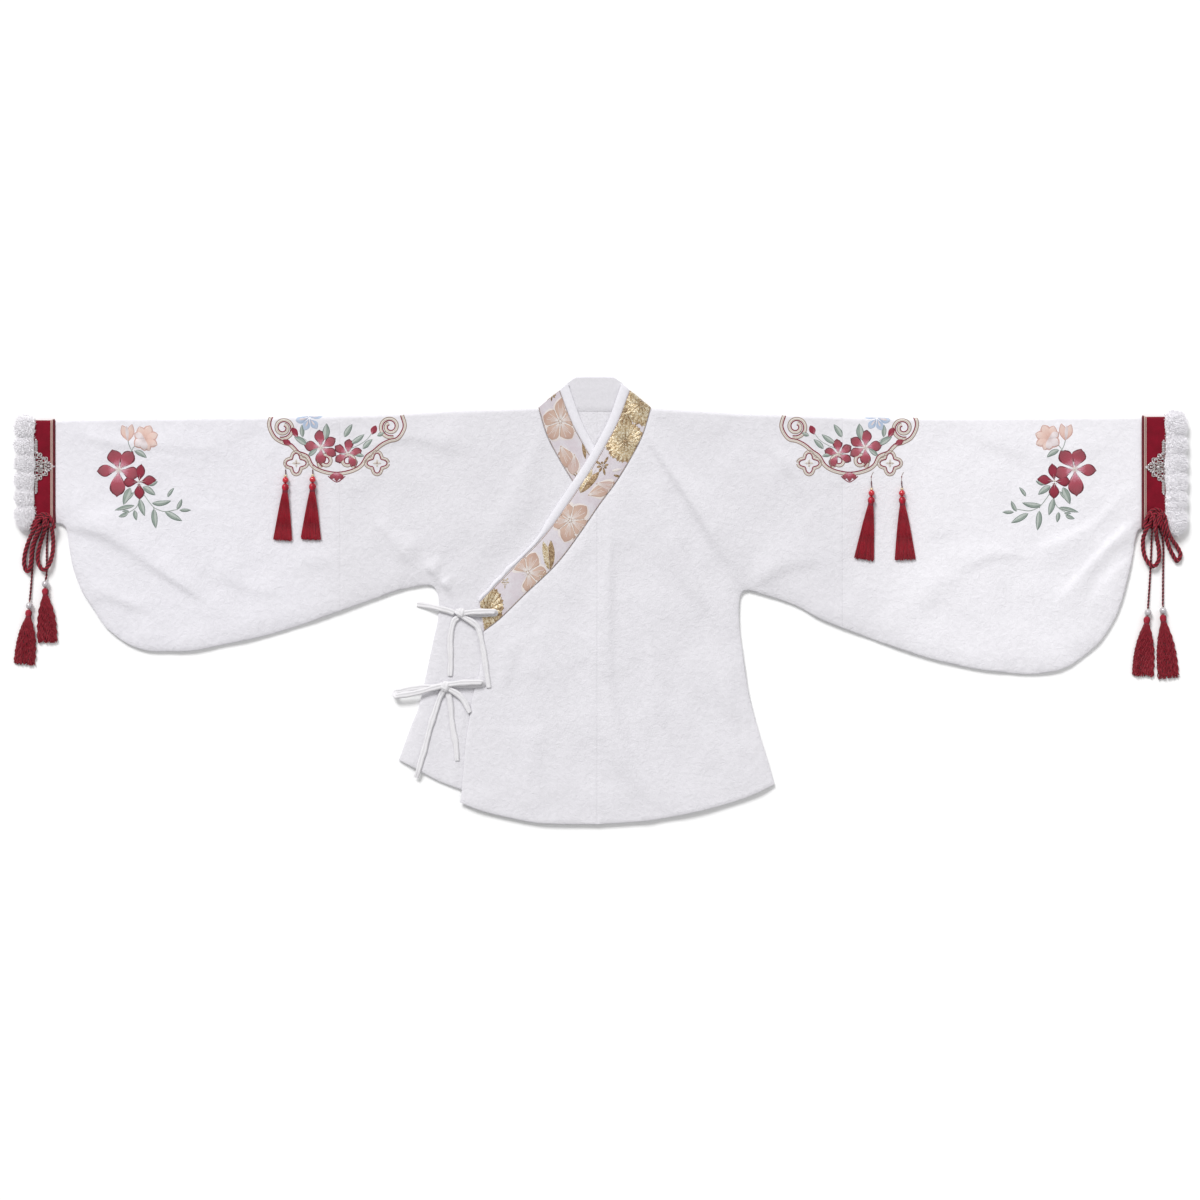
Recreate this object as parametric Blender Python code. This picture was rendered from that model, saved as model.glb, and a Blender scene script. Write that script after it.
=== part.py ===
"""A cross-collar hanfu jacket laid flat, face up: +X to the right, +Y to the neck, +Z up.

Tables are in millimetres. Each cloth piece is a wall between an outer and an inner surface.
The back lies on the floor, the inner right front on it, and the outer left front on top.
"""
import math

import bmesh
import bpy
import numpy as np
from mathutils import Vector
from mathutils.geometry import delaunay_2d_cdt

MM = 0.001

# Thickness, layers and seams
WALL = 2.6
SEAM_GAP = 0.35
SEWN_LIFT = 2.95
INNER_LIFT = 3.0
OUTER_LIFT = 6.0
EDGE_EASE = 26.0
FOLD_STEPS = 4
FLAT_TOP = OUTER_LIFT + WALL
CLEARANCE = 0.4
RISE_START = 20.0
RISE_LENGTH = 80.0

# Spacing of the points inside a panel
GRID = 44.0
NEAR_SEAM = (10.0, 26.0)

# Seams shared by two pieces
CENTRE_X = -6.0
BACK_NECK_Y = 296.0
LEFT_HEM_Y = -343.2
RIGHT_HEM_Y = -340.0
INNER_HEM_Y = -338.0

# The outer collar run, from its lower end to the fold at the neck. The inner run mirrors it.
COLLAR_AXIS_X = -9.5
COLLAR_RUN = (  # seam x, seam y, neck edge x, neck edge y, guard width, lift of the inner run
    (-180, -48, -187, -4, 3.0, 3.0),
    (-155, -29, -170, 13.5, 3.5, 3.0),
    (-115, 10, -140, 44.5, 4.0, 3.0),
    (-90, 33, -117, 68, 5.0, 3.0),
    (-64.5, 59, -94, 91, 7.0, 3.0),
    (-37, 95, -70, 121, 12.0, 3.0),
    (-1.4, 147, -38, 167, 13.0, 3.0),
    (23, 180, -13, 204.5, 13.0, 3.0),
    (48, 221, 10, 244, 13.0, 3.0),
    (64.5, 254, 26, 275, 14.0, 4.2),
    (77, 295, 44, 322, 16.0, 5.6),
)
COLLAR_BACK = (  # seam x, seam y, neck edge x, neck edge y, guard width
    (60, 296.2, 34, 328, 14.0),
    (26, 296.2, 18, 331.5, 12.0),
    (-9.5, 296.2, -9.5, 332, 12.0),
)
FACING = (  # y, left x, right x of the white facing inside the back neck
    (298, -80, 61),
    (320, -58, 39),
    (341, -35, 17),
)
FACING_LIFT = 2.95
FACING_WALL = 1.2

# Free edges of the jacket, x and y
OVERLAP_EDGE = ((-186, -110), (-196.5, -147), (-201, -179), (-207.5, -221), (-213, -289), (-216, -310))
OVERLAP_HEM = ((-175, -325), (-106, -340), (-65, -342.6), (-35, LEFT_HEM_Y))
LEFT_HEM = ((40, -340.5), (85, -336), (156, -322), (212, -306), (240, -295), (266, -282))
LEFT_SIDE = (
    (266, -282), (254.5, -242), (240, -195), (226, -139), (217, -78), (212, -40), (211.4, -7),
    (214.6, 9), (224, 15), (250, 9), (297, -7), (336, -28), (370, -41.7),
)
LEFT_SHOULDER = ((77.4, 294.2), (145, 290), (213.5, 286), (272, 284), (320, 282), (369.65, 280.4))
RIGHT_HEM = (
    (-65, -337), (-106, -332), (-140, -323), (-175, -311), (-213, -291), (-249, -277), (-284, -258),
    (-310, -245),
)
RIGHT_SIDE = (
    (-310, -245), (-290, -190), (-280, -166), (-271, -127), (-264, -95), (-257, -62), (-250, -29),
    (-249, 3), (-257, 21), (-273, 23), (-308, 16), (-340, 5), (-374, -7), (-399.65, -16),
)
RIGHT_SHOULDER = (
    (-96.4, 294.4), (-150, 292.5), (-200, 290.8), (-247, 289), (-308, 285), (-355, 283.5),
    (-399.65, 282),
)
INNER_PANEL_EDGE = ((172, -200), (185, -300), (120, -322), (60, -333))
LEFT_SLEEVE_LOWER = (
    (370.35, -41.7), (410, -57), (448, -71), (485, -83), (522, -93.5), (560, -102), (597, -108),
    (652.5, -113), (690, -110), (710, -104), (727, -95), (747, -80), (764, -64), (778, -45),
    (790, -23), (799, 0), (805, 22), (814, 59), (820, 96), (825.5, 109), (829, 110),
)
LEFT_SLEEVE_TOP = (
    (370.35, 280.4), (410, 279.8), (480, 279), (582, 279), (640, 279.4), (708, 280), (770, 280.8),
    (829, 281.4),
)
RIGHT_SLEEVE_LOWER = (
    (-400.35, -16), (-452.5, -35), (-507, -52), (-540, -60), (-570, -66), (-625, -77), (-664, -78),
    (-695, -77), (-726.5, -66), (-754, -46), (-767, -31), (-777.5, -15), (-788, 1), (-797, 16),
    (-809, 48), (-815, 79), (-820, 110), (-829, 117.5), (-836, 118),
)
RIGHT_SLEEVE_TOP = (
    (-400.35, 282), (-450, 281), (-508, 280), (-580, 279.4), (-660, 278.6), (-738, 278),
    (-790, 277), (-836, 276),
)

# The largest folds, as ridges of the outer surface
CREASES = (  # from x, from y, to x, to y, half width, height
    (-816, 118, -726, 86, 10, 2.4),
    (-726, 86, -672, 60, 10, 2.0),
    (-748, -8, -690, 14, 14, 1.4),
    (822, 112, 765, 63, 10, 2.4),
    (765, 63, 726, 29, 10, 2.0),
    (62, 246, 123, 171, 15, 2.0),
    (123, 171, 180, 86, 15, 2.2),
    (180, 86, 221, 40, 13, 2.0),
    (85, 134, 155, 2, 15, 1.6),
    (22, 110, 26, -288, 14, 1.4),
    (-262, 36, -281, 59, 8, 1.8),
    (-256, 34, -236, 8, 8, 1.8),
)
CREASE_STEP = 30.0

# Cuffs: the bands and the fur are flattened rings round the sleeve ends
CUFFS = (  # name, sleeve end x, band end x, fur end x, low y, high y, piping x
    ("left", 829.0, 866.0, 899.5, 110.0, 281.4, 834.5),
    ("right", -836.0, -869.5, -900.0, 118.0, 276.0, -842.0),
)
BAND_HEIGHT = FLAT_TOP
PIPING_WIDTH = 4.0
PIPING_HEIGHT = 1.6
FUR_BULGE = 13.5
FUR_SCALLOPS = 6
FUR_SCALLOP_DEPTH = 0.16
LACE_HEIGHT = 84.0
LACE_SCALLOPS = 7
LACE_WALL = 0.9

# Cords: routes chosen by hand, each point on the cord's centreline
LOOP_THICK = 7.0
TAIL_THICK = 3.5
PEARL_THICK = 11.4
CORD_ROUTES = (  # name, thickness, route of x, y, z
    ("cuff_left_loop_a", LOOP_THICK, (
        (840, 117, 16.2), (835, 108, 15.2), (831.5, 96, 8), (831.5, 82, 4.5), (834, 68, 5),
        (841, 55, 8.3), (849, 52.5, 8.2), (855.5, 63, 6.5), (855.5, 80, 4.4), (852, 95, 8.5),
        (849.5, 106, 16.5), (848, 117.2, 18))),
    ("cuff_left_loop_b", LOOP_THICK, (
        (856.4, 119.6, 17.4), (861, 108, 16.4), (866, 95, 10), (872, 79, 7), (878, 68, 4.6),
        (884, 60, 4.2), (889, 70, 4.2), (883, 83, 5), (875.5, 92, 9.5), (869, 102, 18),
        (865, 113, 22.5), (864, 123, 22.5))),
    ("cuff_left_tail_a", TAIL_THICK, (
        (845, 119.8, 11.2), (844.5, 106, 10.8), (844.6, 94, 4), (844.4, 75, 2.3), (843.6, 55.6, 2.3),
        (841.6, 20, 2.3), (839.4, -8, 4), (839.1, -12.8, 5.4))),
    ("cuff_left_tail_b", TAIL_THICK, (
        (853.5, 120.1, 11.2), (857, 106, 10.8), (861, 96, 4), (863, 75, 2.3), (862.6, 40, 2.3),
        (862.4, 10, 2.3), (862, -5, 4), (862, -9.9, 5.4))),
    ("cuff_right_loop_a", LOOP_THICK, (
        (-863.3, 123, 14.5), (-867, 110, 15.5), (-874, 98, 9), (-880, 84, 4.6), (-884, 68, 4.3),
        (-884.5, 54, 4.3), (-880.5, 44, 4.3), (-875.5, 49, 7), (-873.5, 62, 8.2), (-872, 78, 8.2),
        (-868, 93, 8.6), (-861.5, 105, 15.5), (-857, 115.5, 19))),
    ("cuff_right_loop_b", LOOP_THICK, (
        (-848.8, 116.9, 17.5), (-852.5, 106, 12.5), (-857.8, 93, 5.5), (-862, 78, 4.6),
        (-863.8, 64, 4.6), (-860.5, 52, 6.8), (-853, 46.5, 8.4), (-845.4, 56, 7.8),
        (-841.2, 72, 4.6), (-840.2, 88, 4.2), (-840.4, 103, 10), (-841.6, 113, 15.8))),
    ("cuff_right_tail_a", TAIL_THICK, (
        (-855.5, 119.8, 10.8), (-858, 108, 10), (-863.5, 98, 3.5), (-869.5, 80, 2.3),
        (-871.5, 60.2, 2.3), (-873.2, 36.4, 2.3), (-875.6, 6, 3.2), (-876.3, -2.2, 5.4))),
    ("cuff_right_tail_b", TAIL_THICK, (
        (-847, 120.2, 10.8), (-847.2, 108, 10), (-849, 98, 3.5), (-850.3, 80, 2.3),
        (-850.3, 56, 2.3), (-850.6, 38, 3), (-851.6, 31, 5.2))),
)
PEARLS = (  # name, x, y
    ("cuff_left_pearl_a", 838.9, -18.9),
    ("cuff_left_pearl_b", 862.0, -16.0),
    ("cuff_right_pearl_a", -876.4, -8.4),
    ("cuff_right_pearl_b", -852.0, 24.8),
)
KNOTS = (  # name, x, y, z, half sizes in x, y, z
    ("cuff_left_knot", 849.0, 129.5, 15.2, 13.0, 11.0, 6.2),
    ("cuff_right_knot", -852.0, 127.5, 14.6, 8.5, 9.0, 5.6),
    ("tie_upper_knot", -215.7, -19.2, 10.0, 9.0, 7.0, 3.8),
    ("tie_lower_knot", -239.5, -132.0, 11.2, 9.0, 8.0, 3.8),
)

# Tassels: a turned head, flattening to a root from which the locks grow
TASSELS = (  # name, top x, top y, floor z, length, end width, lean in degrees
    ("cuff_left_tassel_a", 837.6, -24.9, 0.5, 91, 33, -4),
    ("cuff_left_tassel_b", 861.6, -22.0, 0.5, 97, 32, 6),
    ("cuff_right_tassel_a", -877.0, -14.4, 0.5, 84, 32, -5),
    ("cuff_right_tassel_b", -852.2, 18.8, 0.5, 83, 31, 2),
    ("sleeve_left_tassel_a", 414.7, 158.5, 9.1, 97, 31, -7),
    ("sleeve_left_tassel_b", 461.2, 158.5, 9.1, 97, 33, 3),
    ("sleeve_right_tassel_a", -483.0, 178.5, 9.1, 87, 29, -3),
    ("sleeve_right_tassel_b", -441.5, 179.3, 9.1, 87, 31, -2),
)
HEAD_SECTIONS = (  # distance from the top, half width, half height, squareness
    (0.0, 1.8, 1.8, 0.0),
    (2.0, 4.6, 4.6, 0.0),
    (5.5, 5.9, 5.6, 0.0),
    (9.5, 4.4, 4.2, 0.1),
    (12.5, 6.0, 4.4, 0.4),
    (17.0, 8.6, 4.6, 0.8),
)
LOCKS_ACROSS = 8
LOCKS_DEEP = 2
LOCK_MIDDLE = 0.45
LOCK_GAP = 0.56
LOCK_RISE = 2.4
LOCK_DROOP = 1.4

BEADS = (  # name, x, y of the bead, y where the thread starts
    ("sleeve_left_bead_a", 414.5, 163.9, 183.0),
    ("sleeve_left_bead_b", 461.0, 163.9, 183.0),
    ("sleeve_right_bead_a", -483.0, 183.9, 200.0),
    ("sleeve_right_bead_b", -441.5, 184.7, 200.0),
)
BEAD_RADIUS = 4.9
THREAD_RADIUS = 0.9

# Ribbon ties: a row is a point on the ribbon's middle
RIBBON_WIDTH = 8.6
RIBBON_WALL = 1.4
RIBBON_TAILS = (  # name, route of x, y, z
    ("tie_upper_stub", ((-225.1, -19.2, 10), (-236, -15.5, 10), (-246, -13, 9.8), (-255, -11, 8.2),
                        (-266, -8.6, 4.5), (-282, -6, 1.2))),
    ("tie_upper_tail_a", ((-219, -26.4, 8.4), (-226, -34, 8), (-231, -60, 8), (-230.5, -92, 8),
                          (-231.5, -116, 8))),
    ("tie_upper_tail_b", ((-209.5, -26.3, 11.5), (-198, -33, 10.8), (-188.5, -42, 10.2),
                          (-183, -62, 10.2), (-178, -92, 10.2), (-172, -134, 10.2))),
    ("tie_lower_tail_a", ((-243, -140.3, 10), (-248, -152, 9), (-260, -188, 9), (-270, -226, 9),
                          (-277, -250, 9), (-280, -262, 8.9), (-283, -272, 6.5))),
    ("tie_lower_tail_b", ((-235, -140, 8.2), (-231, -158, 8), (-228, -190, 7.9),
                          (-222.5, -222, 7.9), (-220.5, -246, 7.9))),
    ("tie_lower_tail_c", ((-231.5, -136.7, 12), (-219.5, -144, 10.8), (-209, -156, 10.4),
                          (-201, -172, 10.4))),
)
RIBBON_LOOPS = (  # name, start x, start y, z at the start, end x, end y, z at the end, height
    ("tie_upper_loop", -206.3, -19.2, 9.9, -161, -19.4, 10.4, 6.0),
    ("tie_lower_loop_a", -248.9, -132.2, 11.0, -316, -144, 5.0, 7.0),
    ("tie_lower_loop_b", -230.0, -128.6, 11.0, -181, -127.6, 10.2, 6.0),
)

CLOTH = ("plush_white", (0.87, 0.86, 0.89), 0.95, 0.0)
BROCADE = ("brocade", (0.80, 0.74, 0.76), 0.6, 0.0)
GUARD = ("guard_white", (0.85, 0.84, 0.87), 0.9, 0.0)
BAND = ("band_red", (0.22, 0.012, 0.025), 0.8, 0.0)
PIPING = ("piping_beige", (0.62, 0.42, 0.34), 0.5, 0.1)
FUR = ("fur_white", (0.84, 0.83, 0.85), 1.0, 0.0)
LACE = ("lace_silver", (0.60, 0.55, 0.50), 0.4, 0.4)
CORD = ("cord_red", (0.30, 0.008, 0.03), 0.6, 0.0)
PEARL = ("pearl_silver", (0.75, 0.73, 0.72), 0.2, 0.3)
BEAD = ("bead_red", (0.45, 0.01, 0.03), 0.15, 0.0)
RIBBON = ("ribbon_white", (0.85, 0.85, 0.88), 0.6, 0.0)


def clear_scene():
    for obj in list(bpy.data.objects):
        bpy.data.objects.remove(obj, do_unlink=True)


def material_of(spec):
    name, colour, roughness, metallic = spec
    material = bpy.data.materials.get(name)
    if material is None:
        material = bpy.data.materials.new(name)
        material.use_nodes = True
        shader = material.node_tree.nodes["Principled BSDF"]
        shader.inputs["Base Color"].default_value = (*colour, 1.0)
        shader.inputs["Roughness"].default_value = roughness
        shader.inputs["Metallic"].default_value = metallic
        material.diffuse_color = (*colour, 1.0)
    return material


def add_object(name, bm, spec, sharp=40.0):
    """One object from a bmesh in millimetres, its faces turned outwards."""
    bmesh.ops.recalc_face_normals(bm, faces=bm.faces)
    bmesh.ops.scale(bm, vec=(MM, MM, MM), verts=bm.verts)
    mesh = bpy.data.meshes.new(name)
    bm.to_mesh(mesh)
    bm.free()
    mesh.shade_smooth()
    mesh.set_sharp_from_angle(angle=math.radians(sharp))
    mesh.materials.append(material_of(spec))
    obj = bpy.data.objects.new(name, mesh)
    bpy.context.scene.collection.objects.link(obj)
    return obj


def wall(name, outer, inner, faces, spec):
    """A closed wall: the faces on the outer points, again on the inner ones, and a rim between."""
    bm = bmesh.new()
    count = len(outer)
    verts = [bm.verts.new(point) for point in (*outer, *inner)]
    sides = {}
    for face in faces:
        bm.faces.new([verts[i] for i in face])
        bm.faces.new([verts[i + count] for i in reversed(face)])
        for a, b in zip(face, (*face[1:], face[0])):
            sides.setdefault(frozenset((a, b)), []).append((a, b))
    for uses in sides.values():
        if len(uses) == 1:
            a, b = uses[0]
            bm.faces.new((verts[b], verts[a], verts[a + count], verts[b + count]))
    return add_object(name, bm, spec)


def grid_faces(rows, columns, closed=False):
    """Faces of a grid of points stored row by row. Closed joins the last row to the first."""
    faces = []
    for row in range(rows if closed else rows - 1):
        after = (row + 1) % rows
        for column in range(columns - 1):
            faces.append((
                row * columns + column, row * columns + column + 1,
                after * columns + column + 1, after * columns + column))
    return faces


def ease(value):
    return math.sin(math.pi / 2 * min(max(value, 0.0), 1.0))


def smooth_step(value):
    value = min(max(value, 0.0), 1.0)
    return value * value * (3 - 2 * value)


def nearest(point, line):
    """Distance from a point to a polyline, and the fraction along the nearest piece of it."""
    point = np.asarray(point, float)
    best = (math.inf, 0.0)
    for start, end in zip(line, line[1:]):
        start = np.asarray(start, float)
        step = np.asarray(end, float) - start
        along = min(max(float((point - start) @ step / (step @ step)), 0.0), 1.0)
        best = min(best, (float(np.linalg.norm(point - start - step * along)), along))
    return best


def offset_line(line, distance):
    """The polyline moved sideways, to the right of its direction."""
    points = np.array(line, float)
    steps = np.gradient(points, axis=0)
    steps /= np.linalg.norm(steps, axis=1)[:, None]
    return [tuple(p) for p in points + distance * np.stack([steps[:, 1], -steps[:, 0]], axis=1)]


def mirrored(points):
    return [(2 * COLLAR_AXIS_X - x, y) for x, y in points]


def inside(point, outline):
    x, y = point
    hit = False
    for (ax, ay), (bx, by) in zip(outline, (*outline[1:], outline[0])):
        if (ay > y) != (by > y) and x < ax + (y - ay) * (bx - ax) / (by - ay):
            hit = not hit
    return hit


def crease_height(x, y):
    total = 0.0
    for ax, ay, bx, by, half_width, height in CREASES:
        distance, along = nearest((x, y), ((ax, ay), (bx, by)))
        taper = 0.45 + 0.55 * math.sin(math.pi * along)
        total = max(total, height * taper * math.exp(-((distance / half_width) ** 2)))
    return total


def crease_points():
    """Points on each crease and to both sides of it."""
    points = []
    for ax, ay, bx, by, half_width, _ in CREASES:
        start = np.array((ax, ay), float)
        step = np.array((bx, by), float) - start
        length = np.linalg.norm(step)
        across = np.array((-step[1], step[0])) / length
        count = max(2, round(length / CREASE_STEP))
        for i in range(count + 1):
            middle = start + step * i / count
            for side in (-1.5, 0.0, 1.5):
                points.append(tuple(middle + across * side * half_width))
    return points


def panel_points(outline, sewn):
    """The points inside a panel: rows by its sewn seams, its creases, and an even grid."""
    closed = [*outline, outline[0]]
    kept = []
    wanted = [(p, 5.0, 9.0) for p in crease_points()]
    for distance in NEAR_SEAM if sewn else ():
        for side in (-distance, distance):
            wanted += [(p, 0.8 * distance, 8.0) for p in offset_line(sewn, side)]
    low = np.min(outline, axis=0)
    high = np.max(outline, axis=0)
    rows = np.arange(low[1], high[1], GRID * math.sqrt(3) / 2)
    for row, y in enumerate(rows):
        for x in np.arange(low[0] + GRID / 2 * (row % 2), high[0], GRID):
            wanted.append(((float(x), float(y)), 0.42 * GRID, 0.5 * GRID))
    for point, from_edge, from_others in wanted:
        if not inside(point, outline) or nearest(point, closed)[0] < from_edge:
            continue
        if all(math.dist(point, other) > from_others for other in kept):
            kept.append(point)
    return kept


def patch(outline, extra):
    """Flat triangles of the outline: its points, the faces, and where each given point went."""
    coords = [Vector(p) for p in (*outline, *extra)]
    edges = [(i, (i + 1) % len(outline)) for i in range(len(outline))]
    points, _, faces, origins, _, _ = delaunay_2d_cdt(coords, edges, [], 1, 1e-5)
    place = {old: new for new, olds in enumerate(origins) for old in olds}
    return [(p.x, p.y) for p in points], [tuple(f) for f in faces], place


def panel(name, outline, height, spec):
    """A flat-cut panel that lies at one height."""
    points, faces, _ = patch(outline, panel_points(outline, None))
    outer = [(x, y, height + WALL) for x, y in points]
    inner = [(x, y, height) for x, y in points]
    return wall(name, outer, inner, faces, spec)


def folded_panel(name, shoulder, front_rest, back_rest, sewn, lift, spec):
    """Front and back in one piece. They join in a half-round fold along the shoulder."""
    tops = [lift(x, y) for x, y in shoulder]
    line = [(x, y - (top + WALL) / 2) for (x, y), top in zip(shoulder, tops)]
    front_outline = [*line, *front_rest]
    back_outline = [*line, *back_rest]
    front, faces, front_at = patch(front_outline, panel_points(front_outline, sewn))
    back, back_faces, back_at = patch(back_outline, [])
    outer = [(x, y, lift(x, y) + WALL + crease_height(x, y)) for x, y in front]
    inner = [(x, y, lift(x, y)) for x, y in front]
    start = len(outer)
    outer += [(x, y, 0.0) for x, y in back]
    inner += [(x, y, WALL) for x, y in back]
    faces = faces + [tuple(i + start for i in face) for face in back_faces]
    chains = []
    for k, (x, y) in enumerate(line):
        chain = [front_at[k]]
        low, high = inner[front_at[k]][2], outer[front_at[k]][2]
        for step in range(1, FOLD_STEPS):
            angle = math.pi * (0.5 - step / FOLD_STEPS)
            chain.append(len(outer))
            out, hollow = high / 2, (low - WALL) / 2
            outer.append((x, y + out * math.cos(angle), out + out * math.sin(angle)))
            middle = WALL + hollow
            inner.append((x, y + hollow * math.cos(angle), middle + hollow * math.sin(angle)))
        chain.append(start + back_at[k])
        chains.append(chain)
    for one, two in zip(chains, chains[1:]):
        for a, b, c, d in zip(one, one[1:], two[1:], two):
            faces.append((a, b, c, d))
    return wall(name, outer, inner, faces, spec)


def guard_edge(row):
    """The neck edge of the guard strip beside one row of a collar table."""
    seam = np.array(row[0:2], float)
    edge = np.array(row[2:4], float)
    step = (edge - seam) / np.linalg.norm(edge - seam)
    return tuple(edge + step * row[4])


def seam_line():
    return [(row[0], row[1]) for row in COLLAR_RUN]


def outer_front_edge():
    """The free edge of the outer front: the guard's neck edge, then the overlap's edge."""
    return [guard_edge(row) for row in reversed(COLLAR_RUN)] + list(OVERLAP_EDGE)


def flat_lift(sewn):
    """The height of the outer cloth: full, and down at the sewn seams."""
    def lift(x, y):
        near = nearest((x, y), sewn)[0] / EDGE_EASE
        return SEWN_LIFT + (OUTER_LIFT - SEWN_LIFT) * ease(near)
    return lift


def under_lift(sewn):
    """The inner front: low under the outer front, rising to full height away from its edge."""
    edge = outer_front_edge()
    edge_y = [p[1] for p in reversed(edge)]
    edge_x = [p[0] for p in reversed(edge)]

    def lift(x, y):
        clear = nearest((x, y), edge)[0] if x < np.interp(y, edge_y, edge_x) else 0.0
        height = INNER_LIFT + (OUTER_LIFT - INNER_LIFT) * smooth_step((clear - RISE_START) / RISE_LENGTH)
        near = nearest((x, y), sewn)[0] / EDGE_EASE
        return SEWN_LIFT + (height - SEWN_LIFT) * ease(near)
    return lift


def make_body():
    seam = offset_line(seam_line(), CLEARANCE)
    left_seam = [p for p in seam if p[0] > CENTRE_X + SEAM_GAP][:-1]
    left_top = np.interp(CENTRE_X + SEAM_GAP, [p[0] for p in seam], [p[1] for p in seam])
    centre = CENTRE_X + SEAM_GAP / 2
    front_rest = [
        *reversed(LEFT_SIDE[:-1]), *reversed(LEFT_HEM[:-1]), (centre, LEFT_HEM_Y),
        (centre, float(left_top)), *left_seam]
    back_rest = [
        *reversed(LEFT_SIDE[:-1]), *reversed(LEFT_HEM[:-1]), (centre, LEFT_HEM_Y),
        (centre, BACK_NECK_Y - CLEARANCE), (56, BACK_NECK_Y - 1.0)]
    end = (LEFT_SHOULDER[-1][0], LEFT_SIDE[-1][1])
    folded_panel(
        "body_left", LEFT_SHOULDER, [end, *front_rest], [end, *back_rest], LEFT_SIDE,
        flat_lift(LEFT_SIDE), CLOTH)

    seam = mirrored(seam)
    right_seam = [p for p in seam if p[0] < CENTRE_X - SEAM_GAP][:-1]
    right_top = np.interp(-(CENTRE_X - SEAM_GAP), [-p[0] for p in seam], [p[1] for p in seam])
    centre = CENTRE_X - SEAM_GAP / 2
    front_rest = [
        *reversed(RIGHT_SIDE[:-1]), *reversed(RIGHT_HEM[:-1]), (centre, RIGHT_HEM_Y),
        (centre, float(right_top)), *right_seam]
    back_rest = [
        *reversed(RIGHT_SIDE[:-1]), *reversed(RIGHT_HEM[:-1]), (centre, RIGHT_HEM_Y),
        (centre, BACK_NECK_Y - CLEARANCE), (-75, BACK_NECK_Y - 1.0)]
    end = (RIGHT_SHOULDER[-1][0], RIGHT_SIDE[-1][1])
    folded_panel(
        "body_right", RIGHT_SHOULDER, [end, *front_rest], [end, *back_rest], RIGHT_SIDE,
        under_lift(RIGHT_SIDE), CLOTH)


def make_overlaps():
    seam = offset_line(seam_line(), CLEARANCE)
    centre = CENTRE_X - SEAM_GAP
    top = float(np.interp(centre, [p[0] for p in seam], [p[1] for p in seam]))
    above = [p for p in seam if p[0] < centre]
    outline = [
        *above, (centre, top), (centre, LEFT_HEM_Y), *reversed(OVERLAP_HEM),
        *reversed(OVERLAP_EDGE)]
    panel("overlap_panel", outline, OUTER_LIFT, CLOTH)

    seam = mirrored(seam)
    centre = CENTRE_X + SEAM_GAP
    top = float(np.interp(-centre, [-p[0] for p in seam], [p[1] for p in seam]))
    above = [p for p in seam if p[0] > centre]
    outline = [*above, (centre, top), (centre, INNER_HEM_Y), *reversed(INNER_PANEL_EDGE)]
    panel("inner_overlap_panel", outline, INNER_LIFT, CLOTH)


def make_sleeves():
    for name, lower, top in (
            ("sleeve_left", LEFT_SLEEVE_LOWER, LEFT_SLEEVE_TOP),
            ("sleeve_right", RIGHT_SLEEVE_LOWER, RIGHT_SLEEVE_TOP)):
        rest = list(reversed(lower))
        folded_panel(name, top, rest, rest, lower, flat_lift(lower), CLOTH)


def collar_rows():
    """The collar from the outer run's lower end, round the neck, to the inner run's lower end.

    A row is a seam point, the band's neck edge and the guard's edge, the lift, and on a fold
    the direction in which it bulges and its angle.
    """
    def row_of(row, flip, lift):
        points = [(row[0], row[1]), (row[2], row[3]), guard_edge(row)]
        return [np.array(p, float) for p in (mirrored(points) if flip else points)], lift

    runs = []
    for flip in (False, True):
        points, lift = row_of(COLLAR_RUN[-1], flip, COLLAR_RUN[-1][5] if flip else OUTER_LIFT)
        along = points[1] - points[0]
        outward = np.array((along[1], -along[0])) / np.linalg.norm(along)
        outward *= math.copysign(1.0, outward[1])
        run = [(*row_of(row, flip, row[5] if flip else OUTER_LIFT), None, 90.0)
               for row in COLLAR_RUN[:-1]]
        for step in range(FOLD_STEPS + 1):
            run.append((points, lift, outward, 90.0 - 180.0 * step / FOLD_STEPS))
        run += [(*row_of(row, flip, 0.0), None, -90.0) for row in COLLAR_BACK]
        runs.append(run)
    return runs[0] + runs[1][-2::-1]


def collar_strip(name, start, end, spec):
    """A strip of the collar between two of a row's points, with a small gap at its start."""
    outer = []
    inner = []
    rows = collar_rows()
    for points, lift, outward, angle in rows:
        across = (points[end] - points[start]) / np.linalg.norm(points[end] - points[start])
        first = points[start] + across * (SEAM_GAP if start else 0.0)
        for point in (first, points[end]):
            out, hollow = (lift + WALL) / 2, (lift - WALL) / 2
            if outward is None:
                outer.append((*point, lift + WALL if angle > 0 else 0.0))
                inner.append((*point, lift if angle > 0 else WALL))
                continue
            middle = point - outward * out
            turn = math.radians(angle)
            outer.append((*(middle + outward * out * math.cos(turn)), out + out * math.sin(turn)))
            inner.append((
                *(middle + outward * hollow * math.cos(turn)), out + hollow * math.sin(turn)))
    wall(name, outer, inner, grid_faces(len(rows), 2), spec)


def make_collar():
    collar_strip("collar_band", 0, 1, BROCADE)
    collar_strip("collar_guard", 1, 2, GUARD)
    points = [(x, y) for y, left, right in FACING for x in np.linspace(left, right, 4)]
    outer = [(x, y, FACING_LIFT + FACING_WALL) for x, y in points]
    inner = [(x, y, FACING_LIFT) for x, y in points]
    wall("collar_facing", outer, inner, grid_faces(len(FACING), 4), GUARD)


def ring_profile(low, high, radius, flats, rounds):
    """Centre y and normal of each point once round a flattened ring, from the front's low end."""
    start, end = low + radius, high - radius
    profile = [(y, 0.0, 1.0) for y in np.linspace(start, end, flats + 1)]
    for step in range(1, rounds):
        angle = math.pi * (0.5 - step / rounds)
        profile.append((end, math.cos(angle), math.sin(angle)))
    profile += [(y, 0.0, -1.0) for y in np.linspace(end, start, flats + 1)]
    for step in range(1, rounds):
        angle = math.pi * (0.5 + step / rounds)
        profile.append((start, math.cos(angle), -math.sin(angle)))
    return profile


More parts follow.
